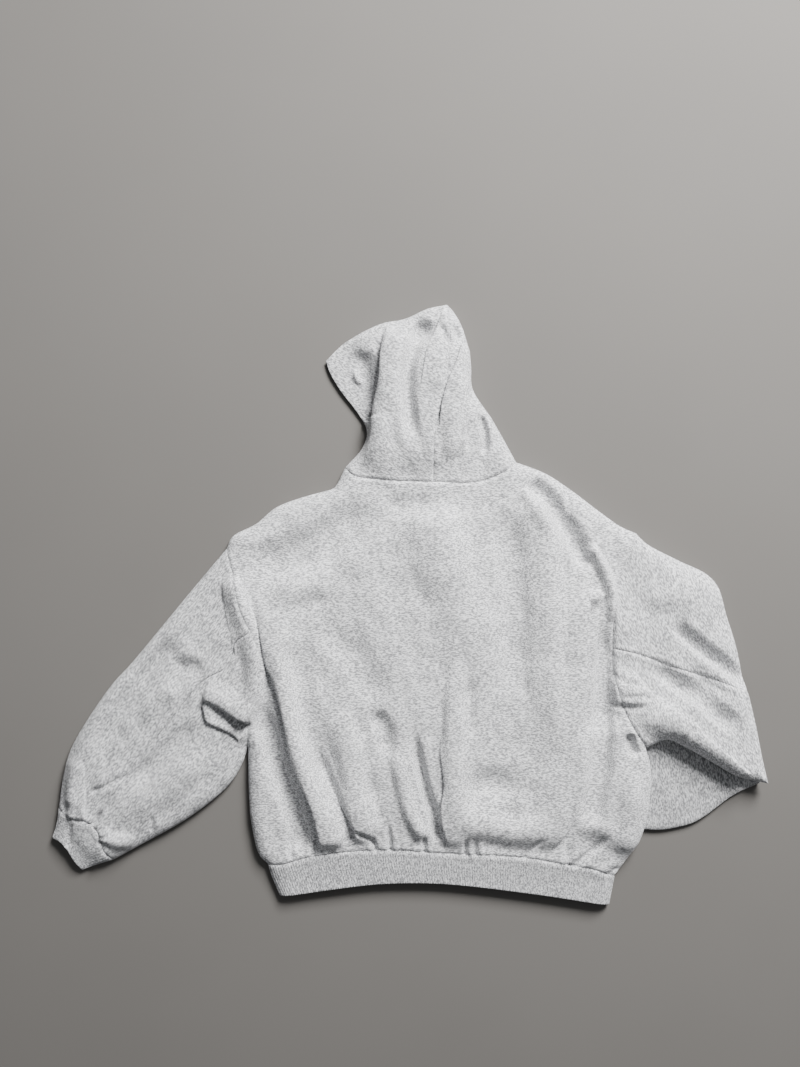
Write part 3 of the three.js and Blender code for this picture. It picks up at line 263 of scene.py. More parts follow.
# Soft swells and hollows of the top layer. A line is walked from its first point, and left and
# right are how far the form reaches to each side of it.
SWELLS = [  # name, rise, left, right, fade at start, fade at end, line
    ("fullness of the trunk", 4, 190, 190, 90, 120, [(30, -372), (30, -200), (34, 150)]),
    ("trunk beside the left armhole", 9, 26, 15, 10, 20,
     [(-240, -176), (-222, -111), (-232, -40), (-259, 48)]),
    ("valley left of the left roll", -9, 26, 14, 20, 50,
     [(-150, -366), (-162, -310), (-186, -250), (-202, -190), (-214, -140)]),
    ("crest of the left roll", 5, 12, 18, 40, 60,
     [(-128, -330), (-146, -256), (-166, -190), (-182, -110), (-204, -40)]),
    ("hollow beside the left roll", -10, 26, 34, 50, 60,
     [(-100, -320), (-116, -262), (-146, -185), (-162, -120), (-168, -40)]),
    ("second valley", -7, 22, 14, 10, 50, [(-82, -352), (-98, -300), (-124, -247), (-146, -201)]),
    ("second ridge", 7, 26, 26, 30, 80, [(-54, -348), (-74, -280), (-86, -210), (-108, -130)]),
    ("third ridge", 8, 16, 16, 20, 40, [(28, -350), (7, -312), (-9, -258), (-16, -204)]),
    ("hollow left of the third ridge", -6, 22, 18, 24, 24, [(-53, -150), (-34, -190), (-30, -230)]),
    ("soft hollow in the right half", -4, 14, 14, 30, 30, [(94, -100), (91, -150), (97, -205)]),
    ("trough beside the middle fold", -9, 13, 10, 12, 50,
     [(50, -350), (40, -318), (22, -250), (7, -174)]),
    ("right half hollow", -6, 36, 32, 44, 50, [(66, -252), (100, -266), (140, -264), (180, -246)]),
    ("right half dome", 8, 30, 30, 34, 34, [(64, -306), (110, -322), (160, -334), (210, -330)]),
    ("right half crest", 6, 14, 26, 60, 60, [(74, -340), (66, -230), (64, -150), (70, -60)]),
    ("hollow under the neck", -8, 40, 50, 60, 60,
     [(-245, 42), (-190, 66), (-130, 90), (-84, 122), (-34, 148)]),
    ("hollow under the neck seam", -4, 26, 26, 30, 60, [(-40, 150), (30, 146), (96, 152)]),
    ("middle ridge", 8, 44, 60, 40, 110, [(30, 150), (58, 66), (90, -24), (116, -130)]),
    ("hollow right of the middle ridge", -5, 34, 30, 60, 80,
     [(142, 150), (150, 60), (154, -40), (158, -150)]),
    ("right ridge", 9, 24, 44, 30, 120, [(184, 166), (206, 96), (210, 8), (212, -150), (210, -230)]),
    ("long slanting hollow", -4, 34, 34, 60, 40,
     [(-124, -30), (-84, -62), (-56, -112), (-40, -160)]),
    ("left blade", 5, 34, 30, 40, 40, [(-210, 6), (-150, 30), (-96, 36)]),
    ("right shoulder hollow", -9, 16, 26, 24, 24, [(266, 50), (236, 108), (206, 150), (172, 186)]),
    ("right shoulder ridge", 4, 16, 12, 30, 16, [(212, 100), (196, 134), (168, 178)]),
    ("right armhole ridge", 8, 15, 9, 30, 14, [(304, -30), (303, 14), (291, 53), (268, 90)]),
    ("lump at the right armhole", 4, 12, 12, 14, 14, [(262, 22), (286, 6)]),
    ("second lump there", 4, 10, 12, 12, 14, [(262, -12), (288, 24)]),
    ("foot of the right roll", -13, 14, 24, 40, 70,
     [(264, -330), (278, -250), (286, -150), (289, -80), (291, -20)]),
    ("right side panel", 4, 22, 18, 20, 60, [(318, -372), (330, -300), (330, -230)]),
    ("wrinkle at the right shoulder", -3, 9, 7, 14, 14, [(237, 180), (240, 132)]),
    ("left sleeve, rim", 4, 28, 18, 50, 70, [(-490, -260), (-452, -160), (-392, -80), (-320, -2)]),
    ("left sleeve, long hollow", -4, 20, 20, 60, 60,
     [(-462, -236), (-420, -150), (-372, -82), (-330, -28)]),
    ("left sleeve, upper ridge", 3, 16, 28, 30, 26, [(-352, -34), (-326, -62), (-300, -92)]),
    ("left sleeve, dimple", -3, 20, 18, 20, 14, [(-350, -98), (-324, -92), (-300, -94)]),
    ("left sleeve, below the dimple", 4, 18, 22, 30, 30, [(-400, -170), (-360, -132), (-326, -116)]),
    ("left sleeve, under ridge", 7, 32, 32, 60, 60, [(-430, -330), (-350, -262), (-280, -206)]),
    ("left sleeve, under hollow", -5, 20, 22, 50, 40, [(-420, -276), (-350, -212), (-306, -166)]),
    ("left sleeve, puff at the cuff", 6, 16, 16, 14, 20, [(-456, -334), (-428, -348), (-400, -350)]),
    ("left sleeve, puff outside", 4, 16, 12, 14, 14, [(-496, -300), (-494, -262), (-484, -226)]),
    ("left cuff lies flatter", -5, 60, 60, 0.1, 0.1, [(-540, -352), (-480, -402)]),
    ("left cuff valley", -1.5, 8, 9, 6, 3, [(-499, -312), (-501, -334), (-503, -360)]),
    ("right sleeve, top swell", 5, 44, 40, 50, 50, [(350, 36), (400, 16), (446, -10)]),
    ("right sleeve, fold above the seam", -8, 22, 10, 40, 10,
     [(384, -26), (412, -50), (442, -75), (471, -97), (497, -122)]),
    ("right sleeve, rest of that fold", 5, 14, 20, 40, 20, [(410, -70), (450, -96), (490, -128)]),
    ("right sleeve, middle hollow", -6, 26, 14, 40, 30,
     [(346, -84), (392, -116), (436, -146), (484, -190)]),
    ("right sleeve, crease at the edge", -4, 6, 7, 8, 5, [(417, -176), (408, -190), (400, -204)]),
    ("right underarm, cross wrinkle", -3, 7, 8, 20, 20, [(292, -146), (324, -149), (360, -148)]),
    ("right underarm hollow", -7, 9, 12, 10, 8, [(326, -186), (329, -206), (336, -222)]),
    ("hood body", 10, 78, 66, 60, 70, [(35, 184), (35, 300), (30, 425)]),
    ("hood, left ridge", 6, 24, 24, 60, 30, [(-34, 240), (-24, 300), (-20, 350), (-6, 400)]),
    ("hood valley", -12, 20, 16, 70, 24,
     [(24, 214), (8, 257), (1, 301), (1, 352), (12, 388), (34, 424)]),
    ("hood, hollow left of the tip", -5, 9, 9, 18, 14, [(48, 420), (54, 400), (60, 380)]),
    ("hood, hollow right of the tip", -5, 8, 8, 16, 14, [(66, 420), (72, 402), (78, 386)]),
    ("hood, dome", 5, 15, 13, 24, 24, [(36, 310), (46, 350), (54, 380)]),
    ("hood, base left swell", 4, 20, 30, 30, 40, [(-62, 214), (-40, 250), (-34, 300)]),
    ("hood, base hollow", -4, 16, 16, 30, 40, [(-14, 214), (-22, 262), (-16, 310)]),
    ("hood, right base ridge", 5, 14, 16, 30, 30, [(60, 206), (64, 262), (72, 310)]),
    ("hood, lower layer valley", -6, 10, 9, 14, 18, [(112, 220), (115, 250), (106, 286)]),
    ("lobe lies lower", -10, 60, 60, 0.1, 0.1, [(-112, 390), (-90, 330), (-78, 270)]),
    ("lobe hollow", -5, 22, 16, 20, 20, [(-62, 284), (-66, 330), (-62, 380)]),
    ("nub in the lobe", 7, 9, 8, 9, 9, [(-62, 326), (-76, 336), (-74, 352)]),
]

# Folds that hang over the cloth beside them. The raised side is on the right of the line.
ROLLS = [  # name, rise, crest, back, lean, fade at start, fade at end, line
    ("left roll", 15, 16, 56, 2.0, 20, 100,
     [(-129, -369), (-135, -346), (-145, -299), (-166, -256), (-176, -225), (-185, -181),
      (-192, -147), (-201, -115), (-213, -87), (-220, -55), (-230, -17), (-246, 30)]),
    ("right roll", 12, 14, 64, 1.9, 80, 40,
     [(276, 60), (273, 23), (270, -30), (270, -75), (267, -136), (263, -189), (261, -240),
      (255, -286), (248, -312), (235, -338), (224, -353), (209, -374)]),
    ("second ridge edge", 6, 15, 34, 1.0, 30, 80,
     [(-74, -364), (-87, -325), (-108, -288), (-134, -237)]),
    ("middle fold edge", 8, 13, 48, 1.3, 24, 230,
     [(58, -368), (50, -335), (45, -300), (49, -262), (44, -215), (50, -160), (42, -90)]),
    ("strip beside the left armhole", 2, 7, 20, 0.3, 30, 40,
     [(-244, -96), (-253, -82), (-257, -70), (-263, -44), (-269, -20), (-274, 15), (-274, 59)]),
    ("flap, lower edge", 11, 8, 28, 1.1, 12, 4,
     [(-233, -178), (-254, -168), (-273, -155), (-289, -146), (-304, -141)]),
    ("layer under the flap", 4, 5, 14, 0.8, 12, 6,
     [(-247, -206), (-256, -195), (-275, -185), (-298, -173), (-302, -159), (-306, -143)]),
    ("hood edge over the lobe", 13, 16, 70, 2.0, 60, 26,
     [(-88, 206), (-68, 234), (-61, 259), (-59, 270), (-54, 301), (-48, 327), (-46, 348),
      (-44, 374), (-40, 394), (-33, 420)]),
    ("hood dome edge", 6, 10, 26, 0.8, 40, 10, [(13, 300), (20, 350), (26, 379), (39, 409), (50, 438)]),
    ("hood right ridge edge", 9, 12, 34, 1.4, 50, 14,
     [(41, 240), (45, 288), (49, 307), (56, 330), (68, 358), (78, 392)]),
    ("hood edge over its lower layer", 7, 9, 30, 1.4, 20, 26,
     [(96, 340), (93, 302), (90, 266), (88, 235), (91, 218)]),
    ("right sleeve fold", 15, 15, 44, 1.4, 60, 12,
     [(326, -80), (362, -126), (400, -152), (431, -178), (459, -205), (506, -246)]),
    ("left sleeve, edge of the outer strip", 4, 10, 30, 0.6, 40, 8,
     [(-499, -206), (-482, -216), (-475, -240), (-474, -280), (-474, -319)]),
]

# Narrow gathers and creases
CREASES = [  # depth, half width, fade at start, fade at end, line
    (7, 5, 2, 26, [(-171, -376), (-177, -330)]),
    (5, 5, 2, 20, [(-139, -372), (-140, -340)]),
    (4, 5, 2, 18, [(-112, -370), (-117, -340)]),
    (6, 5, 3, 22, [(-46, -364), (-53, -347), (-87, -325)]),
    (6, 5, 2, 24, [(-25, -365), (-29, -316)]),
    (6, 5, 2, 18, [(25, -368), (24, -334)]),
    (6, 5, 2, 18, [(86, -373), (86, -340)]),
    (6, 5, 2, 18, [(101, -373), (100, -342)]),
    (3, 6, 2, 26, [(126, -376), (130, -358), (140, -339), (158, -318)]),
    (4, 5, 2, 22, [(172, -378), (183, -359), (206, -338)]),
    (6, 5, 2, 20, [(238, -388), (240, -346)]),
    (6, 6, 2, 26, [(244, -388), (272, -364), (298, -334)]),
    (5, 5, 2, 14, [(293, -402), (318, -386)]),
    (4, 5, 10, 12, [(-470, -278), (-433, -261), (-413, -249)]),
    (5, 5, 2, 12, [(-465, -325), (-450, -300)]),
    (5, 5, 2, 12, [(-452, -345), (-426, -330)]),
    (4, 5, 2, 12, [(-458, -350), (-440, -352)]),
    (4, 5, 2, 12, [(-492, -316), (-486, -292)]),
    (3, 6, 8, 10, [(-380, -337), (-376, -307)]),
    (3, 7, 14, 14, [(-356, -38), (-374, -83)]),
    (4, 5, 2, 10, [(-508, -308), (-500, -288)]),
    (3, 6, 10, 20, [(300, -100), (322, -114), (350, -118)]),
    (3, 6, 10, 20, [(312, -136), (340, -134), (366, -142)]),
]

# Section across a roll: where a point at a distance from its line goes, and how high it is
ROLL_SECTION = np.array([  # distance, shift, share of the rise
    (-16, 0.0, 0.00), (-9, 0.8, 0.00), (-5, 2.2, 0.00), (-2.2, 3.6, 0.01), (-0.6, 4.2, 0.08),
    (0.8, 3.2, 0.24), (2.4, 0.6, 0.45), (4.4, -1.8, 0.66), (7, -2.4, 0.82), (10, -1.9, 0.93),
    (15, -0.9, 1.00), (22, -0.2, 1.00), (28, 0.0, 1.00)])
ROLL_CREST = 10.0           # crest distance that the section is drawn for

# Waves all over, so that no panel is even
SWELL_SCALE = 1.7
ROLL_SCALE = 1.4
WAVES = [  # wavelength, height, number
    (120.0, 0.9, 9), (62.0, 0.55, 12), (30.0, 0.34, 16), (13.0, 0.09, 18)]

# Soft creases of the layers that lie on the ground: height, half width, line
UNDER_CREASES = [
    (3.0, 12, [(-196, -350), (-178, -240), (-150, -120)]),
    (2.4, 10, [(-120, -362), (-104, -300), (-112, -240)]),
    (2.6, 14, [(-60, -330), (-40, -200), (-52, -90)]),
    (2.2, 9, [(-14, -364), (-8, -310)]),
    (2.8, 14, [(104, -358), (128, -250), (120, -140)]),
    (2.4, 10, [(180, -366), (196, -290), (240, -210)]),
    (3.0, 14, [(250, -330), (272, -220), (262, -90)]),
    (2.6, 16, [(-210, 40), (-150, 70), (-96, 130)]),
    (2.4, 12, [(110, 110), (180, 60), (250, 50)]),
    (2.6, 12, [(-300, -70), (-344, -130), (-352, -190)]),
    (2.2, 10, [(-392, -200), (-430, -240), (-470, -260)]),
    (2.4, 10, [(-330, -250), (-380, -290), (-424, -312)]),
    (2.4, 12, [(350, 40), (392, -10), (452, -30)]),
    (2.2, 10, [(372, -110), (430, -150), (480, -160)]),
    (2.6, 12, [(-40, 210), (-34, 270), (-60, 330)]),
    (2.2, 10, [(0, 380), (20, 400), (44, 410)]),
    (2.4, 10, [(100, 224), (96, 270), (84, 330)]),
]


def box_mask(line, x, y, margin):
    """Points that may be within a margin of a line."""
    low, high = line.min(axis=0) - margin, line.max(axis=0) + margin
    return (x > low[0]) & (x < high[0]) & (y > low[1]) & (y < high[1])


def least_distance(names, x, y):
    best = np.full(x.shape, 1e9)
    for name in names:
        best = np.minimum(best, np.abs(near(resample(CURVE[name], np.linspace(
            0, 1, max(8, int(reach(CURVE[name])[-1] / 5)))), x, y)[0]))
    return best


def exact_distance(names, x, y):
    """Distance to the nearest of some curves, exact close to them."""
    best = least_distance(names, x, y)
    close = best < 30
    if close.any():
        fine = np.full(close.sum(), 1e9)
        for name in names:
            inside = box_mask(CURVE[name], x[close], y[close], 34)
            if inside.any():
                fine[inside] = np.minimum(
                    fine[inside], np.abs(near(CURVE[name], x[close][inside], y[close][inside])[0]))
        best[close] = np.minimum(best[close] + 3, fine)
    return np.maximum(0.0, best - 0.05)


FORE_OUTLINE = along("foreUpper", "foreFold", "-foreLower", "foreCuffLower", "-foreMouth",
                     "-foreCuffUpper")
FORE_OUTLINE = np.vstack([FORE_OUTLINE[:-1:3], FORE_OUTLINE[:1]])


def inside_forearm(x, y):
    inside = np.zeros(x.shape, bool)
    for (ax, ay), (bx, by) in zip(FORE_OUTLINE[:-1], FORE_OUTLINE[1:]):
        if ay != by:
            inside ^= ((ay > y) != (by > y)) & (x < (bx - ax) * (y - ay) / (by - ay) + ax)
    return inside


def lift(x, y):
    """How far the garment is held off the ground by the forearm and by the zip's slider."""
    away = np.where(inside_forearm(x, y), 0.0, np.abs(near(FORE_OUTLINE, x, y)[0]))
    arm = FOREARM_LIFT * smooth(1 - (away - FOREARM_MARGIN) / FOREARM_RAMP)
    from_zip = np.hypot(x - ZIP["x"], (y - SLIDER_LIFT["y"]) * SLIDER_LIFT["squeeze"])
    zip_lift = smooth(1 - (from_zip - SLIDER_LIFT["radius"]) / SLIDER_LIFT["ramp"])
    return np.maximum(arm, SLIDER_LIFT["height"] * zip_lift)


rng = np.random.default_rng(SEED)
WAVE_TABLE = []
for wavelength, height, number in WAVES:
    for angle, phase, stretch in zip(rng.uniform(0, np.pi, number), rng.uniform(0, 2 * np.pi, number),
                                     rng.uniform(0.75, 1.3, number)):
        k = 2 * np.pi / (wavelength * stretch)
        WAVE_TABLE.append((k * np.cos(angle), k * np.sin(angle), phase,
                           height * (2 / number) ** 0.5))


def waves(x, y, table):
    total = np.zeros(x.shape)
    for kx, ky, phase, height in table:
        total += height * np.sin(kx * x + ky * y + phase)
    return total


def fades(walked, length, start, end):
    return np.minimum(smooth(walked / start), smooth((length - walked) / end))


def seam_relief(x, y):
    """Groove along each seam, with the puckers that its stitches draw in beside it."""
    total = np.zeros(x.shape)
    for k, name in enumerate(SEAMS):
        line = CURVE[name]
        where = box_mask(line, x, y, 24)
        if not where.any():
            continue
        d, walked, _ = near(line, x[where], y[where])
        length = reach(line)[-1]
        phase = walked * 2 * np.pi / SEAM["pitch"] + 1.7 * np.sin(walked / 23 + k)
        pucker = np.sin(phase) * np.sin(walked / 31 + 2 * k) * np.exp(-(d / SEAM["reach"]) ** 2)
        groove = -SEAM["depth"] * np.exp(-(d / SEAM["width"]) ** 2)
        ridge = 0.7 * np.exp(-((np.abs(d) - 5.0) / 2.6) ** 2)
        end = smooth(np.minimum(walked, length - walked) / 4 + 0.3)
        total[where] += (groove + ridge + SEAM["pucker"] * pucker) * end
    return total


def relief(x, y):
    """Height and sideways shift of every fold of the top layer."""
    z = waves(x, y, WAVE_TABLE)
    side = np.zeros(x.shape + (2,))
    below, _, _ = near(CURVE["hem"][::3], x, y)
    drawn = np.where(below > 0, 0.35 * smooth(1 - below / 9), 0.35 + 0.65 * smooth(-below / 10))
    for name, rise, left, right, start, end, points in SWELLS:
        line = spline(points, 7.0)
        where = box_mask(line, x, y, max(left, right))
        if not where.any():
            continue
        d, walked, _ = near(line, x[where], y[where])
        share = bell(d / np.where(d < 0, left, right))
        z[where] += SWELL_SCALE * rise * share * fades(walked, reach(line)[-1], start, end)
    for name, rise, crest, back, lean, start, end, points in ROLLS:
        line = spline(points, 4.0)
        where = box_mask(line, x, y, crest + back + 10)
        if not where.any():
            continue
        d, walked, normal = near(line, x[where], y[where])
        fade = fades(walked, reach(line)[-1], start, end)
        scaled = np.where(d > 0, d * ROLL_CREST / crest, d)
        share = np.interp(scaled, ROLL_SECTION[:, 0], ROLL_SECTION[:, 2])
        share = share * (1 - smooth((d - crest * 1.3) / back))
        z[where] += ROLL_SCALE * rise * share * fade
        shift = np.interp(scaled, ROLL_SECTION[:, 0], ROLL_SECTION[:, 1]) * lean * fade
        side[where] += shift[..., None] * normal
    on_trunk = smooth((x - TRUNK_LEFT["x"]) / 20)
    z = z * (1 - on_trunk + on_trunk * drawn)
    side = side * (1 - on_trunk + on_trunk * smooth(-below / 16))[..., None]
    on_band = 1 - on_trunk * smooth(below / 4)
    for depth, width, start, end, points in CREASES:
        line = spline(points, 4.0)
        where = box_mask(line, x, y, 2.6 * width)
        if not where.any():
            continue
        d, walked, _ = near(line, x[where], y[where])
        fade = fades(walked, reach(line)[-1], start, end)
        t = d / width
        z[where] += on_band[where] * depth * fade * (-bell(t) + 0.2 * bell((np.abs(t) - 1.6) / 1.1))
    return z + seam_relief(x, y), side


def top_place(x, y):
    """Where the points of the top layer lie."""
    away = exact_distance(SILHOUETTE, x, y)
    raised = lift(x, y)
    edge = EDGE_HEIGHT + raised
    on_trunk = smooth((x - TRUNK_LEFT["x"]) / TRUNK_LEFT["ramp"])
    drop = HEM_DROP * smooth(1 - (y - HEM_Y) / HEM_REACH) * on_trunk
    drop += BAND_DROP * smooth((HEM_Y - y) / BAND_REACH)
    z, side = relief(x, y)
    rise = LOFT - drop + raised * LIFT_SHARE + z - edge
    rise = 0.5 * (rise + LEAST_RISE + np.sqrt((rise - LEAST_RISE) ** 2 + 9.0))
    rise = MOST_RISE * np.tanh(rise / MOST_RISE)
    inwards = np.minimum(1.0, away / TOP_ROUND)
    height = edge + rise * np.sqrt(1 - (1 - inwards) ** 2)
    side = side * smooth(away / 12)[..., None]
    return np.stack([x + side[..., 0], y + side[..., 1], height], -1)


UNDER_WAVES = WAVE_TABLE[9:37]


def under_place(x, y):
    """Where the points of the layer on the ground lie."""
    away = exact_distance(SILHOUETTE, x, y)
    inwards = np.minimum(1.0, away / UNDER_ROUND)
    rise = np.zeros(x.shape)
    for height, width, points in UNDER_CREASES:
        line = spline(points, 7.0)
        where = box_mask(line, x, y, width)
        if where.any():
            d, walked, _ = near(line, x[where], y[where])
            rise[where] += height * bell(d / width) * fades(walked, reach(line)[-1], 24, 24)
    rise += np.maximum(0, 0.5 * waves(x, y, UNDER_WAVES) - 0.15)
    rise *= smooth(away / 14)
    return np.stack([x, y, lift(x, y) + rise
                     + EDGE_HEIGHT * (1 - np.sqrt(1 - (1 - inwards) ** 2))], -1)


FORE_SIDES = ["foreFold", "foreLower", "foreUpper", "foreCuffUpper", "foreCuffLower"]


def fore_top(x, y):
    inwards = np.minimum(1.0, exact_distance(FORE_SIDES, x, y) / FOREARM_ROUND)
    away = np.abs(near(CURVE["foreSeam"], x, y)[0])
    groove = -1.2 * np.exp(-(away / 1.7) ** 2) * smooth(inwards)
    swell = 0.7 * waves(x, y, WAVE_TABLE) * smooth(inwards)
    full = FOREARM_TOP - 2.5 - EDGE_HEIGHT + groove + swell
    return np.stack([x, y, EDGE_HEIGHT + full * np.sqrt(1 - (1 - inwards) ** 2)], -1)


def fore_under(x, y):
    inwards = np.minimum(1.0, exact_distance(FORE_SIDES, x, y) / UNDER_ROUND)
    return np.stack([x, y, EDGE_HEIGHT * (1 - np.sqrt(1 - (1 - inwards) ** 2))], -1)


def graded(length, base, first, last, zones=()):
    """Shares of a length, in steps that are short at its ends and in the zones."""
    stops = [0.0]
    while stops[-1] < length:
        s = stops[-1]
        step = min([base, first + 0.3 * s, last + 0.3 * max(0.0, length - s)]
                   + [zone_step + 0.3 * max(0.0, low - s, s - high) for low, high, zone_step in zones])
        stops.append(s + max(0.2, step))
    return np.array(stops) / stops[-1]


def shares(points):
    walked = reach(points)
    return walked / walked[-1] if walked[-1] > 1e-6 else None


def patch(bottom, top, left, right):
    """Points of a four sided patch between its edges, in rows from the bottom to the top."""
    low, high, near_side, far_side = shares(bottom), shares(top), shares(left), shares(right)
    u = high if low is None else low if high is None else (low + high) / 2
    v = (near_side + far_side) / 2
    u, v = u[None, :, None], v[:, None, None]
    return ((1 - v) * bottom[None] + v * top[None] + (1 - u) * left[:, None] + u * right[:, None]
            - (1 - u) * (1 - v) * bottom[0] - u * (1 - v) * bottom[-1]
            - (1 - u) * v * top[0] - u * v * top[-1])


def rib_height(u, count):
    part = (u * count) % 1.0
    return RIB["depth"] * (1 - np.abs(2 * part - 1) ** 2.4)


def line_grid(bottom, top, left, right, us, vs):
    """Patch whose edges are given as curves and whose stops are given as shares."""
    return patch(resample(bottom, us), resample(top, us), resample(left, vs), resample(right, vs))


# Lines that the columns of the back's cloth follow, from the hem to the shoulders and the neck
BACK_GUIDES = [
    [(-129, -369), (-135, -346), (-145, -299), (-166, -256), (-176, -225), (-185, -181),
     (-192, -147), (-201, -115), (-213, -87), (-220, -55), (-230, -17), (-246, 30), (-251, 78),
     (-250, 106)],
    [(-74, -364), (-87, -325), (-108, -288), (-134, -237), (-156, -191), (-166, -139),
     (-172, -80), (-178, -20), (-184, 60), (-192, 145)],
    [(57, -368), (53, -325), (47, -288), (50, -257), (45, -189), (45, -110), (44, 0), (40, 100),
     (38, 182)],
    [(209, -378), (224, -353), (235, -338), (248, -312), (255, -286), (261, -240), (263, -189),
     (267, -136), (270, -75), (270, -30), (273, 23), (276, 60), (272, 110), (262, 156)],
]
BACK_COLUMNS = [  # width that the stops are worked out for, first step, last step
    (66, 0.7, 1.2), (46, 1.2, 1.3), (200, 1.3, 1.2), (206, 1.2, 1.3), (74, 1.3, 0.7)]


def back_grid():
    hem = CURVE["hem"]
    top = along("shoulderLeft", "neckLeft", "neckRight", "shoulderRight")
    sides = [along("-sideLeft", "-armUnderLeft", "-armTopLeft")]
    for points in BACK_GUIDES:
        start = hem[np.argmin(np.linalg.norm(hem - points[0], axis=1))]
        end = top[np.argmin(np.linalg.norm(top - points[-1], axis=1))]
        sides.append(spline([tuple(start), *points[1:-1], tuple(end)]))
    sides.append(along("-sideRight", "-armUnderRight", "-armTopRight"))
    vs = graded(600, 3.1, 1.1, 0.6)
    grids = []
    for k, (width, first, last) in enumerate(BACK_COLUMNS):
        us = graded(width, 3.1, first, last)
        grid = line_grid(cut(hem, sides[k][0], sides[k + 1][0]),
                         cut(top, sides[k][-1], sides[k + 1][-1]), sides[k], sides[k + 1], us, vs)
        grids.append(grid if k == 0 else grid[:, 1:])
    return np.concatenate(grids, axis=1)


# The left half of the hood: its main part lies over a lobe that begins at a notch
NOTCH = CURVE["hoodSideLeft"][np.argmin(np.linalg.norm(CURVE["hoodSideLeft"] - (-61, 260), axis=1))]
LOBE_TOP = CURVE["hoodTopLeft"][np.argmin(np.linalg.norm(CURVE["hoodTopLeft"] - (-33, 420), axis=1))]


def hood_left_grids():
    edge = spline([tuple(NOTCH), (-60, 267), (-54, 301), (-48, 327), (-46, 348), (-44, 374),
                   (-40, 394), tuple(LOBE_TOP)])
    below = cut(CURVE["hoodSideLeft"], POINT["neckLeft"], NOTCH)
    beside = cut(CURVE["hoodSideLeft"], NOTCH, POINT["lobeTip"])
    lobe_top = cut(CURVE["hoodTopLeft"], POINT["lobeTip"], LOBE_TOP)
    main_top = cut(CURVE["hoodTopLeft"], LOBE_TOP, POINT["hoodTop"])
    main = graded(118, 2.0, 1.0, 1.0)
    lobe = graded(56, 2.0, 0.6, 1.0)
    low = graded(64, 2.0, 1.0, 1.4)
    high = graded(170, 2.0, 1.4, 0.6)
    rows = len(low) + len(high) - 1

    def both(first, first_stops, second, second_stops):
        return np.vstack([resample(first, first_stops), resample(second, second_stops)[1:]])

    left = both(below, low, edge, high)
    seam = CURVE["hoodSeam"]
    seam_low = reach(below)[-1] / (reach(below)[-1] + reach(edge)[-1])
    seam_stops = np.concatenate([low * seam_low, seam_low + high[1:] * (1 - seam_low)])
    up_main = patch(resample(CURVE["neckLeft"], main), resample(main_top, main), left,
                    resample(seam, seam_stops))
    up_lobe = patch(np.repeat(NOTCH[None], len(lobe), axis=0), resample(lobe_top, lobe),
                    resample(beside, high), resample(edge, high))
    under_stops = np.concatenate([lobe * 0.3, 0.3 + main[1:] * 0.7])
    down = patch(resample(CURVE["necklineLeft"], under_stops), both(lobe_top, lobe, main_top, main),
                 both(below, low, beside, high),
                 resample(along("faceEdgeLeft", "faceSeam"), np.linspace(0, 1, rows)))
    return up_main, up_lobe, down


def strip(bottom, top, left, right, us, vs):
    return line_grid(along(*bottom), along(*top), along(*left), along(*right), us, vs)


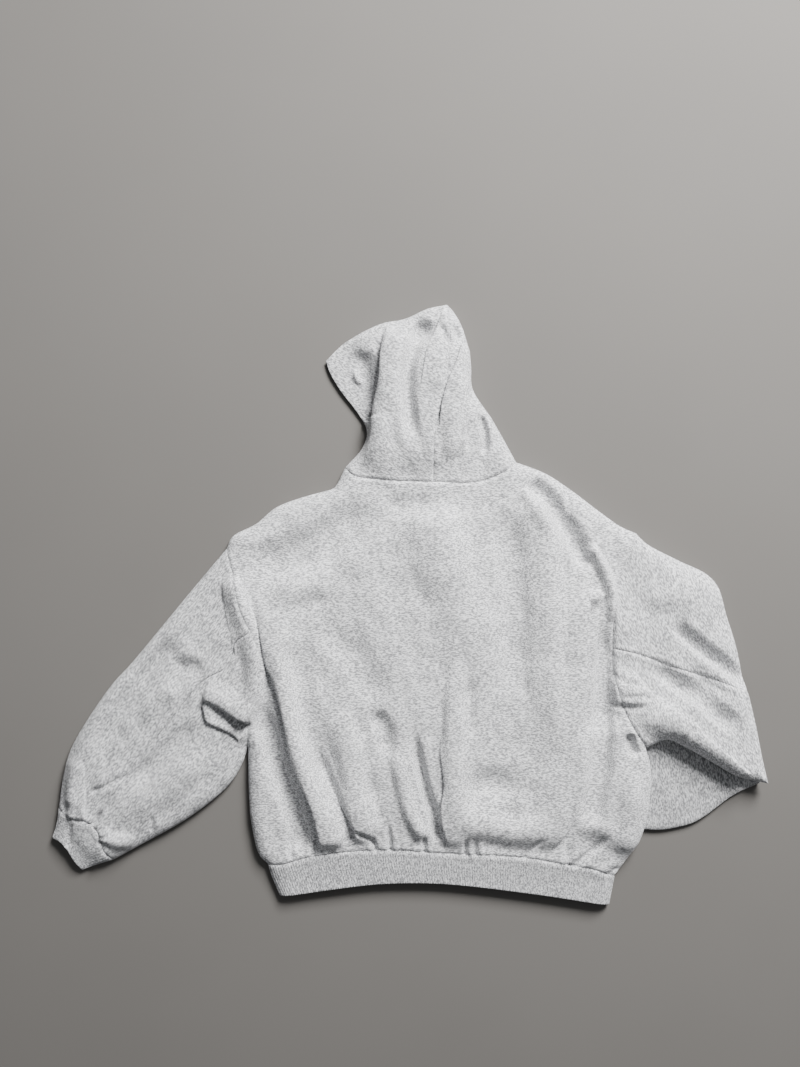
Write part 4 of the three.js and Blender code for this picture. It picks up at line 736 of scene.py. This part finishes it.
class Shell:
    """A closed thin wall of cloth. Its parts are grids of places in the cloth."""

    def __init__(self, name, thickness, rounded=False):
        self.name, self.thickness, self.rounded = name, thickness, rounded
        self.points, self.quads, self.relief, self.count = [], [], [], 0

    def add(self, grid, to_place, facing, ribs=0):
        flat = grid.reshape(-1, 2)
        rows, cols = grid.shape[:2]
        index = self.count + np.arange(rows * cols).reshape(rows, cols)
        quads = np.stack([index[:-1, :-1], index[:-1, 1:], index[1:, 1:], index[1:, :-1]],
                         -1).reshape(-1, 4)
        across, along_rows = grid[:-1, 1:] - grid[:-1, :-1], grid[1:, :-1] - grid[:-1, :-1]
        area = (across[..., 0] * along_rows[..., 1] - across[..., 1] * along_rows[..., 0]).sum()
        if (area > 0) != (facing == "up"):
            quads = quads[:, ::-1]
        self.points.append(to_place(flat[:, 0], flat[:, 1]))
        self.quads.append(quads)
        height = np.zeros((rows, cols))
        if ribs:
            height += rib_height(np.linspace(0, 1, cols), ribs)[None]
            height *= smooth(np.linspace(0, 1, rows) * 22 - 0.4)[:, None]
        self.relief.append(height.ravel())
        self.count += rows * cols

    def mesh(self):
        points = np.vstack(self.points)
        _, first, turned = np.unique(np.round((points + 0.00317) / 0.02).astype(int), axis=0,
                                     return_index=True, return_inverse=True)
        turned = turned.ravel()
        points, relief_at = points[first], np.concatenate(self.relief)[first]
        quads = turned[np.vstack(self.quads)]
        a, b, c, d = (points[quads[:, k]] for k in range(4))
        face_normals = np.cross(c - a, d - b)
        normals = np.zeros(points.shape)
        for k in range(4):
            np.add.at(normals, quads[:, k], face_normals)
        normals /= np.maximum(1e-9, np.linalg.norm(normals, axis=1))[:, None]
        points = points + normals * relief_at[:, None]
        count = len(points)
        inner = points - normals * self.thickness
        faces = [f for f in (list(dict.fromkeys(q)) for q in quads.tolist()) if len(f) > 2]
        edges = set()
        for face in faces:
            edges.update(zip(face, face[1:] + face[:1]))
        rim = [(p, q) for p, q in edges if (q, p) not in edges]
        everything = faces + [[count + v for v in reversed(face)] for face in faces]
        extra = []
        if self.rounded:
            after = {p: q for p, q in rim}
            before = {q: p for p, q in rim}
            middle = {}
            for p in after:
                way = points[after[p]] - points[before.get(p, p)]
                out = np.cross(way, normals[p])
                out /= max(1e-9, np.linalg.norm(out))
                middle[p] = 2 * count + len(extra)
                extra.append((points[p] + inner[p]) / 2 + out * self.thickness * 0.5)
            for p, q in rim:
                everything.append([q, p, middle[p], middle[q]])
                everything.append([middle[q], middle[p], count + p, count + q])
        else:
            everything += [[q, p, count + p, count + q] for p, q in rim]
        vertices = np.vstack([points, inner] + ([np.array(extra)] if extra else []))
        vertices[:, 2] = np.maximum(vertices[:, 2], 0.0)
        mesh = bpy.data.meshes.new(self.name)
        mesh.from_pydata((vertices * MM).tolist(), [], everything)
        mesh.polygons.foreach_set("use_smooth", np.ones(len(mesh.polygons), bool))
        mesh.update()
        obj = bpy.data.objects.new(self.name, mesh)
        bpy.context.scene.collection.objects.link(obj)
        return obj


def cloth_pieces():
    """Every cloth piece as an object, by the name of the CAD node it stands for."""
    made = {}
    shell = Shell("back_cloth", SHELL)
    shell.add(back_grid(), top_place, "up")
    made["back"] = shell.mesh()

    shell = Shell("hood_left_cloth", SHELL)
    main, lobe, down = hood_left_grids()
    shell.add(main, top_place, "up")
    shell.add(lobe, top_place, "up")
    shell.add(down, under_place, "down")
    made["hood_left"] = shell.mesh()

    shell = Shell("hood_right_cloth", SHELL)
    us, vs = graded(110, 2.0, 1.0, 0.6), graded(235, 2.0, 1.0, 0.6)
    shell.add(strip(["neckRight"], ["hoodTopRight"], ["hoodSeam"], ["hoodSideRight"], us, vs),
              top_place, "up")
    shell.add(strip(["necklineRight"], ["-hoodTopRight"], ["hoodSideRight"],
                    ["faceEdgeRight", "faceSeam"], us[::-1] * -1 + 1, vs), under_place, "down")
    made["hood_right"] = shell.mesh()

    armhole = [(4, 78, 1.7)]
    for name, edges, us, vs in (
            ("sleeve_left_top", (["armTopLeft"], ["cuffTopLeft"], ["sleeveOuterLeft"],
                                 ["sleeveSeamLeft"]),
             graded(100, 2.6, 0.5, 1.0), graded(430, 2.8, 1.0, 1.1, armhole)),
            ("sleeve_left_under", (["armUnderLeft"], ["cuffUnderLeft"], ["sleeveSeamLeft"],
                                   ["sleeveInnerLeft"]),
             graded(110, 2.6, 1.0, 0.5), graded(340, 2.6, 1.0, 1.1, armhole)),
            ("sleeve_right_top", (["armTopRight"], ["elbowUpperRight"], ["armOutlineRight"],
                                  ["sleeveSeamRight"]),
             graded(150, 2.6, 0.5, 1.0), graded(210, 2.6, 1.0, 0.5)),
            ("sleeve_right_under", (["armUnderRight"], ["elbowLowerRight"], ["sleeveSeamRight"],
                                    ["armLowerRight"]),
             graded(145, 2.4, 1.0, 0.5), graded(205, 2.4, 1.0, 0.5))):
        shell = Shell(name + "_cloth", SHELL)
        shell.add(strip(*edges, us, vs), top_place, "up")
        shell.add(strip(*edges, us, vs), under_place, "down")
        made[name] = shell.mesh()

    shell = Shell("sleeve_right_forearm_cloth", SHELL)
    edges = (["foreSeam"], ["foreFold"], ["foreUpper"], ["foreLower"])
    us, vs = graded(130, 3.2, 0.5, 0.5), graded(170, 3.2, 1.0, 0.5)
    shell.add(strip(*edges, us, vs), fore_top, "up")
    shell.add(strip(*edges, us, vs), fore_under, "down")
    made["sleeve_right_forearm"] = shell.mesh()

    for name, side, shoulder in (("front_left", "Left", "shoulderLeft"),
                                 ("front_right", "Right", "-shoulderRight")):
        shell = Shell(name + "_cloth", SHELL)
        us, vs = graded(250, 5.0, 0.6, 2.0), graded(600, 5.0, 2.0, 0.6)
        shell.add(strip(["underHem" + side], [shoulder, "neckline" + side],
                        ["-side" + side, "-armUnder" + side, "-armTop" + side],
                        ["frontEdge" + side], us, vs), under_place, "down")
        made[name] = shell.mesh()

    def rib_stops(ribs):
        return np.linspace(0, 1, ribs * RIB["cells"] + 1)

    shell = Shell("hem_band_rib", RIB_SHELL, rounded=True)
    vs = graded(45, 3.4, 1.0, 1.0)
    shell.add(strip(["hem"], ["bandBottom"], ["bandSideLeft"], ["bandSideRight"],
                    rib_stops(134), vs), top_place, "up", ribs=134)
    for side in ("Left", "Right"):
        shell.add(strip(["underHem" + side], ["underBand" + side], ["bandSide" + side],
                        ["bandEnd" + side], rib_stops(66), vs), under_place, "down", ribs=66)
    made["hem_band"] = shell.mesh()

    shell = Shell("cuff_left_rib", RIB_SHELL, rounded=True)
    vs = graded(46, 3.4, 1.0, 1.0)
    edges = (["cuffTopLeft", "cuffUnderLeft"], ["mouthTopLeft", "mouthUnderLeft"],
             ["cuffOuterSideLeft"], ["cuffInnerSideLeft"])
    shell.add(strip(*edges, rib_stops(26), vs), top_place, "up", ribs=26)
    shell.add(strip(*edges, rib_stops(26), vs), under_place, "down", ribs=26)
    made["cuff_left"] = shell.mesh()

    shell = Shell("cuff_right_rib", RIB_SHELL, rounded=True)
    edges = (["foreSeam"], ["foreMouth"], ["foreCuffUpper"], ["foreCuffLower"])
    shell.add(strip(*edges, rib_stops(30), vs), fore_top, "up", ribs=30)
    shell.add(strip(*edges, rib_stops(30), vs), fore_under, "down", ribs=30)
    made["cuff_right"] = shell.mesh()
    return made


def zip_teeth():
    """Two rows of teeth that mesh between the tapes, up to the slider."""
    vertices, faces = [], []
    for k in range(int((TEETH["end"] - TEETH["start"]) / TEETH["pitch"])):
        y = TEETH["start"] + k * TEETH["pitch"]
        middle = ZIP["x"] + ZIP["slant"] * smooth((ZIP["top"] - y) / (ZIP["top"] - ZIP["hem"]))
        middle += ZIP["band_slant"] * smooth((ZIP["hem"] - y) / (ZIP["hem"] - ZIP["bottom"]))
        x = middle + (TEETH["offset"] if k % 2 else -TEETH["offset"])
        z = float(lift(np.array([x]), np.array([y]))[0]) + TEETH["height"]
        first = len(vertices)
        for dz in (-1, 1):
            for dx, dy in ((-1, -1), (1, -1), (1, 1), (-1, 1)):
                vertices.append(((x + dx * TEETH["long"] / 2) * MM, (y + dy * TEETH["wide"] / 2) * MM,
                                 (z + dz * TEETH["thick"] / 2) * MM))
        for face in ((3, 2, 1, 0), (4, 5, 6, 7), (0, 1, 5, 4), (1, 2, 6, 5), (2, 3, 7, 6), (3, 0, 4, 7)):
            faces.append([first + v for v in face])
    mesh = bpy.data.meshes.new("zip_teeth")
    mesh.from_pydata(vertices, [], faces)
    obj = bpy.data.objects.new("zip_teeth", mesh)
    bpy.context.scene.collection.objects.link(obj)
    return obj


class Nodes:
    """A material's node tree, written as one call for each node."""

    def __init__(self, name):
        self.material = bpy.data.materials.new(name)
        self.material.use_nodes = True
        self.tree = self.material.node_tree
        self.shader = self.tree.nodes["Principled BSDF"]

    def node(self, kind, settings=None, **inputs):
        node = self.tree.nodes.new("ShaderNode" + kind)
        for key, value in (settings or {}).items():
            setattr(node, key, value)
        for key, value in inputs.items():
            self.set(node, key.replace("_", " "), value)
        return node

    def set(self, node, key, value):
        socket = node.inputs[int(key)] if key.isdigit() else node.inputs[key]
        if isinstance(value, bpy.types.NodeSocket):
            self.tree.links.new(value, socket)
        else:
            socket.default_value = value

    def math(self, operation, a, b=0.0):
        node = self.node("Math", {"operation": operation})
        self.set(node, "0", a)
        self.set(node, "1", b)
        return node.outputs[0]

    def mapped(self, value, low, high, to_low=0.0, to_high=1.0):
        node = self.node("MapRange", {"interpolation_type": "SMOOTHSTEP"})
        for key, item in (("Value", value), ("From Min", low), ("From Max", high),
                          ("To Min", to_low), ("To Max", to_high)):
            self.set(node, key, item)
        return node.outputs["Result"]

    def noise(self, vector, scale, detail=2.0, roughness=0.5):
        node = self.node("TexNoise", Scale=scale, Detail=detail, Roughness=roughness)
        self.set(node, "Vector", vector)
        return node.outputs[0]

    def mix(self, factor, a, b):
        node = self.node("Mix", {"data_type": "RGBA"})
        self.set(node, "0", factor)
        for socket, value in ((node.inputs[6], a), (node.inputs[7], b)):
            if isinstance(value, bpy.types.NodeSocket):
                self.tree.links.new(value, socket)
            else:
                socket.default_value = value
        return node.outputs[2]


def heather(name, tone_and_painted_shade, angle, dash, nap):
    """Heather knit: grey cloth with darker and lighter fibres that lie one way."""
    n = Nodes(name)
    where = n.node("TexCoord").outputs["Object"]
    turned = n.node("Mapping", Rotation=(0, 0, math.radians(angle)))
    n.set(turned, "Vector", where)
    turned = turned.outputs[0]
    length, width = dash

    def stretched(scale, shift):
        node = n.node("Mapping", Location=(shift, shift * 0.7, 0.3 * shift),
                      Scale=(scale / length, scale / width, scale / width))
        n.set(node, "Vector", turned)
        return node.outputs[0]

    fibres = n.noise(stretched(1000.0, 0.0), 1.0, 2.5, 0.6)
    flecks = n.noise(stretched(760.0, 31.0), 1.0, 1.5, 0.5)
    patches = n.noise(where, 26.0, 3.0, 0.55)
    grain = n.noise(where, 1500.0, 2.0, 0.6)
    # The grey that is passed in is the fleece's own tone, lowered for the hood, the sleeves and the
    # forearm to paint the shade on them.
    base = n.mix(n.mapped(fibres, 0.40, 0.58), (tone_and_painted_shade * 0.30, tone_and_painted_shade * 0.30, tone_and_painted_shade * 0.315, 1),
                 (tone_and_painted_shade * 1.52, tone_and_painted_shade * 1.52, tone_and_painted_shade * 1.535, 1))
    base = n.mix(n.mapped(flecks, 0.55, 0.64, 0.0, 0.8), base,
                 (tone_and_painted_shade * 0.46, tone_and_painted_shade * 0.46, tone_and_painted_shade * 0.475, 1))
    base = n.mix(n.mapped(patches, 0.35, 0.65, 0.0, 0.10), base,
                 (tone_and_painted_shade * 0.7, tone_and_painted_shade * 0.7, tone_and_painted_shade * 0.71, 1))
    base = n.mix(n.mapped(grain, 0.3, 0.7, 0.0, 0.22), base,
                 (tone_and_painted_shade * 1.25, tone_and_painted_shade * 1.25, tone_and_painted_shade * 1.26, 1))
    n.set(n.shader, "Base Color", base)
    n.set(n.shader, "Roughness", 0.92)
    n.set(n.shader, "Sheen Weight", 0.22)
    n.set(n.shader, "Sheen Roughness", 0.6)
    n.set(n.shader, "Specular IOR Level", 0.12)
    fuzz = n.noise(where, 700.0, 3.0, 0.65)
    lumps = n.noise(where, 120.0, 2.0, 0.5)
    height = n.math("ADD", n.math("MULTIPLY", fuzz, nap),
                    n.math("ADD", n.math("MULTIPLY", fibres, nap * 0.9),
                           n.math("MULTIPLY", lumps, nap * 1.2)))
    bump = n.node("Bump", Strength=0.6, Distance=0.001)
    n.set(bump, "Height", height)
    n.set(n.shader, "Normal", bump.outputs[0])
    return n.material


def plain(name, colour, roughness, metallic=0.0, weave=0.0):
    n = Nodes(name)
    where = n.node("TexCoord").outputs["Object"]
    worn = n.noise(where, 900.0 if weave else 260.0, 3.0, 0.6)
    shade = n.mix(n.mapped(worn, 0.3, 0.7), tuple(c * 0.86 for c in colour[:3]) + (1,),
                  tuple(min(1, c * 1.08) for c in colour[:3]) + (1,))
    n.set(n.shader, "Base Color", shade)
    n.set(n.shader, "Metallic", metallic)
    n.set(n.shader, "Roughness", n.mapped(worn, 0.2, 0.8, roughness * 0.85, roughness * 1.15))
    bump = n.node("Bump", Strength=0.4, Distance=0.0003 if weave else 0.00006)
    if weave:
        rows = n.node("TexWave", Scale=weave, Distortion=0.6)
        n.set(rows, "Vector", where)
        n.set(bump, "Height", rows.outputs["Fac"])
    else:
        n.set(bump, "Height", worn)
    n.set(n.shader, "Normal", bump.outputs[0])
    return n.material


def floor_material(name, colour):
    n = Nodes(name)
    where = n.node("TexCoord").outputs["Object"]
    cloud = n.noise(where, 3.0, 3.0, 0.5)
    n.set(n.shader, "Base Color", n.mix(n.mapped(cloud, 0.3, 0.7), colour,
                                        tuple(c * 0.97 for c in colour[:3]) + (1,)))
    n.set(n.shader, "Roughness", 0.85)
    n.set(n.shader, "Specular IOR Level", 0.2)
    return n.material


# Fibres of each kind of cloth: their length and width in mm, and the nap in mm
FIBRES = {"fleece": ((4.6, 1.6), 0.30), "rib": ((3.0, 1.6), 0.16)}
# Cloth: slot, tone with painted shade, angle of its fibres, and how it was cut: width, length and
# area of the flat piece in metres. The back and the fronts keep the fleece's own tone of 0.60; the
# lower tones of the hood, the sleeves and most of all the folded forearm are darker copies of the
# same fleece, which paint the shade that falls on these pieces.
CLOTH = {
    "back": ("fleece", 0.60, 0, (0.64, 0.66, 0.33)),
    "front_left": ("fleece", 0.60, 0, (0.30, 0.60, 0.15)),
    "front_right": ("fleece", 0.60, 0, (0.31, 0.60, 0.155)),
    "hood_left": ("fleece", 0.55, 24, (0.30, 0.36, 0.066)),
    "hood_right": ("fleece", 0.55, 12, (0.24, 0.34, 0.043)),
    "sleeve_left_top": ("fleece", 0.53, -48, (0.26, 0.52, 0.085)),
    "sleeve_left_under": ("fleece", 0.53, -48, (0.24, 0.44, 0.071)),
    "sleeve_right_top": ("fleece", 0.58, 66, (0.32, 0.24, 0.058)),
    "sleeve_right_under": ("fleece", 0.58, 66, (0.30, 0.24, 0.05)),
    # Painted shade: the forearm, folded under the sleeve, gets a much darker copy of the fleece.
    "sleeve_right_forearm": ("fleece", 0.44, 80, (0.34, 0.24, 0.05)),
    "hem_band": ("rib", 0.47, 88, (1.02, 0.06, 0.05)),
    "cuff_left": ("rib", 0.47, 48, (0.20, 0.06, 0.008)),
    "cuff_right": ("rib", 0.47, 10, (0.22, 0.07, 0.01)),
}


def make_floor():
    bpy.ops.mesh.primitive_plane_add(size=6, location=(0, 0, 0))
    floor = bpy.context.object
    floor.name = "floor"
    floor.data.materials.append(floor_material("floor", (0.155, 0.147, 0.137, 1)))


def make_light():
    way = np.array([0.36, 0.70, 0.50])
    way /= np.linalg.norm(way)
    for name, direction, distance, size, power in (
            ("key", way, 3.0, 1.1, 320.0), ("fill", np.array([0.3, 0.5, 0.8]), 3.0, 3.0, 8.0)):
        data = bpy.data.lights.new(name, "AREA")
        data.energy = power
        data.size = size
        lamp = bpy.data.objects.new(name, data)
        direction = direction / np.linalg.norm(direction)
        lamp.location = direction * distance
        lamp.rotation_euler = (
            math.acos(direction[2]), 0.0, math.atan2(direction[1], direction[0]) + math.pi / 2)
        bpy.context.scene.collection.objects.link(lamp)
    world = bpy.data.worlds.new("studio")
    world.use_nodes = True
    background = world.node_tree.nodes["Background"]
    background.inputs["Color"].default_value = (0.93, 0.96, 1.0, 1)
    background.inputs["Strength"].default_value = 0.15
    bpy.context.scene.world = world


def make_camera():
    data = bpy.data.cameras.new("camera")
    data.lens = CAMERA["lens"]
    data.sensor_width = 36.0
    data.clip_end = 20.0
    camera = bpy.data.objects.new("camera", data)
    camera.location = (CAMERA["x"] * MM, CAMERA["y"] * MM, CAMERA["z"] * MM)
    bpy.context.scene.collection.objects.link(camera)
    bpy.context.scene.camera = camera


make_camera()
make_floor()
make_light()
made = cloth_pieces()
for node, (slot_name, tone_and_painted_shade, angle, (width, length, area)) in CLOTH.items():
    obj = made[node]
    obj.data.materials.append(heather(obj.name, tone_and_painted_shade, angle, *FIBRES[slot_name]))
    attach(obj, "garment")
    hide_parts(node)

tape = plain("woven_tape", (0.36, 0.36, 0.365), 0.8, weave=900.0)
metal = plain("satin_metal", (0.70, 0.70, 0.69), 0.34, metallic=1.0)
for node, material in (("zip_tape_left", tape), ("zip_tape_right", tape), ("zip_slider", metal),
                       ("zip_pull", metal)):
    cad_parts[node].data.materials.clear()
    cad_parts[node].data.materials.append(material)

teeth = zip_teeth()
teeth.data.materials.append(metal)
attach(teeth, "garment")
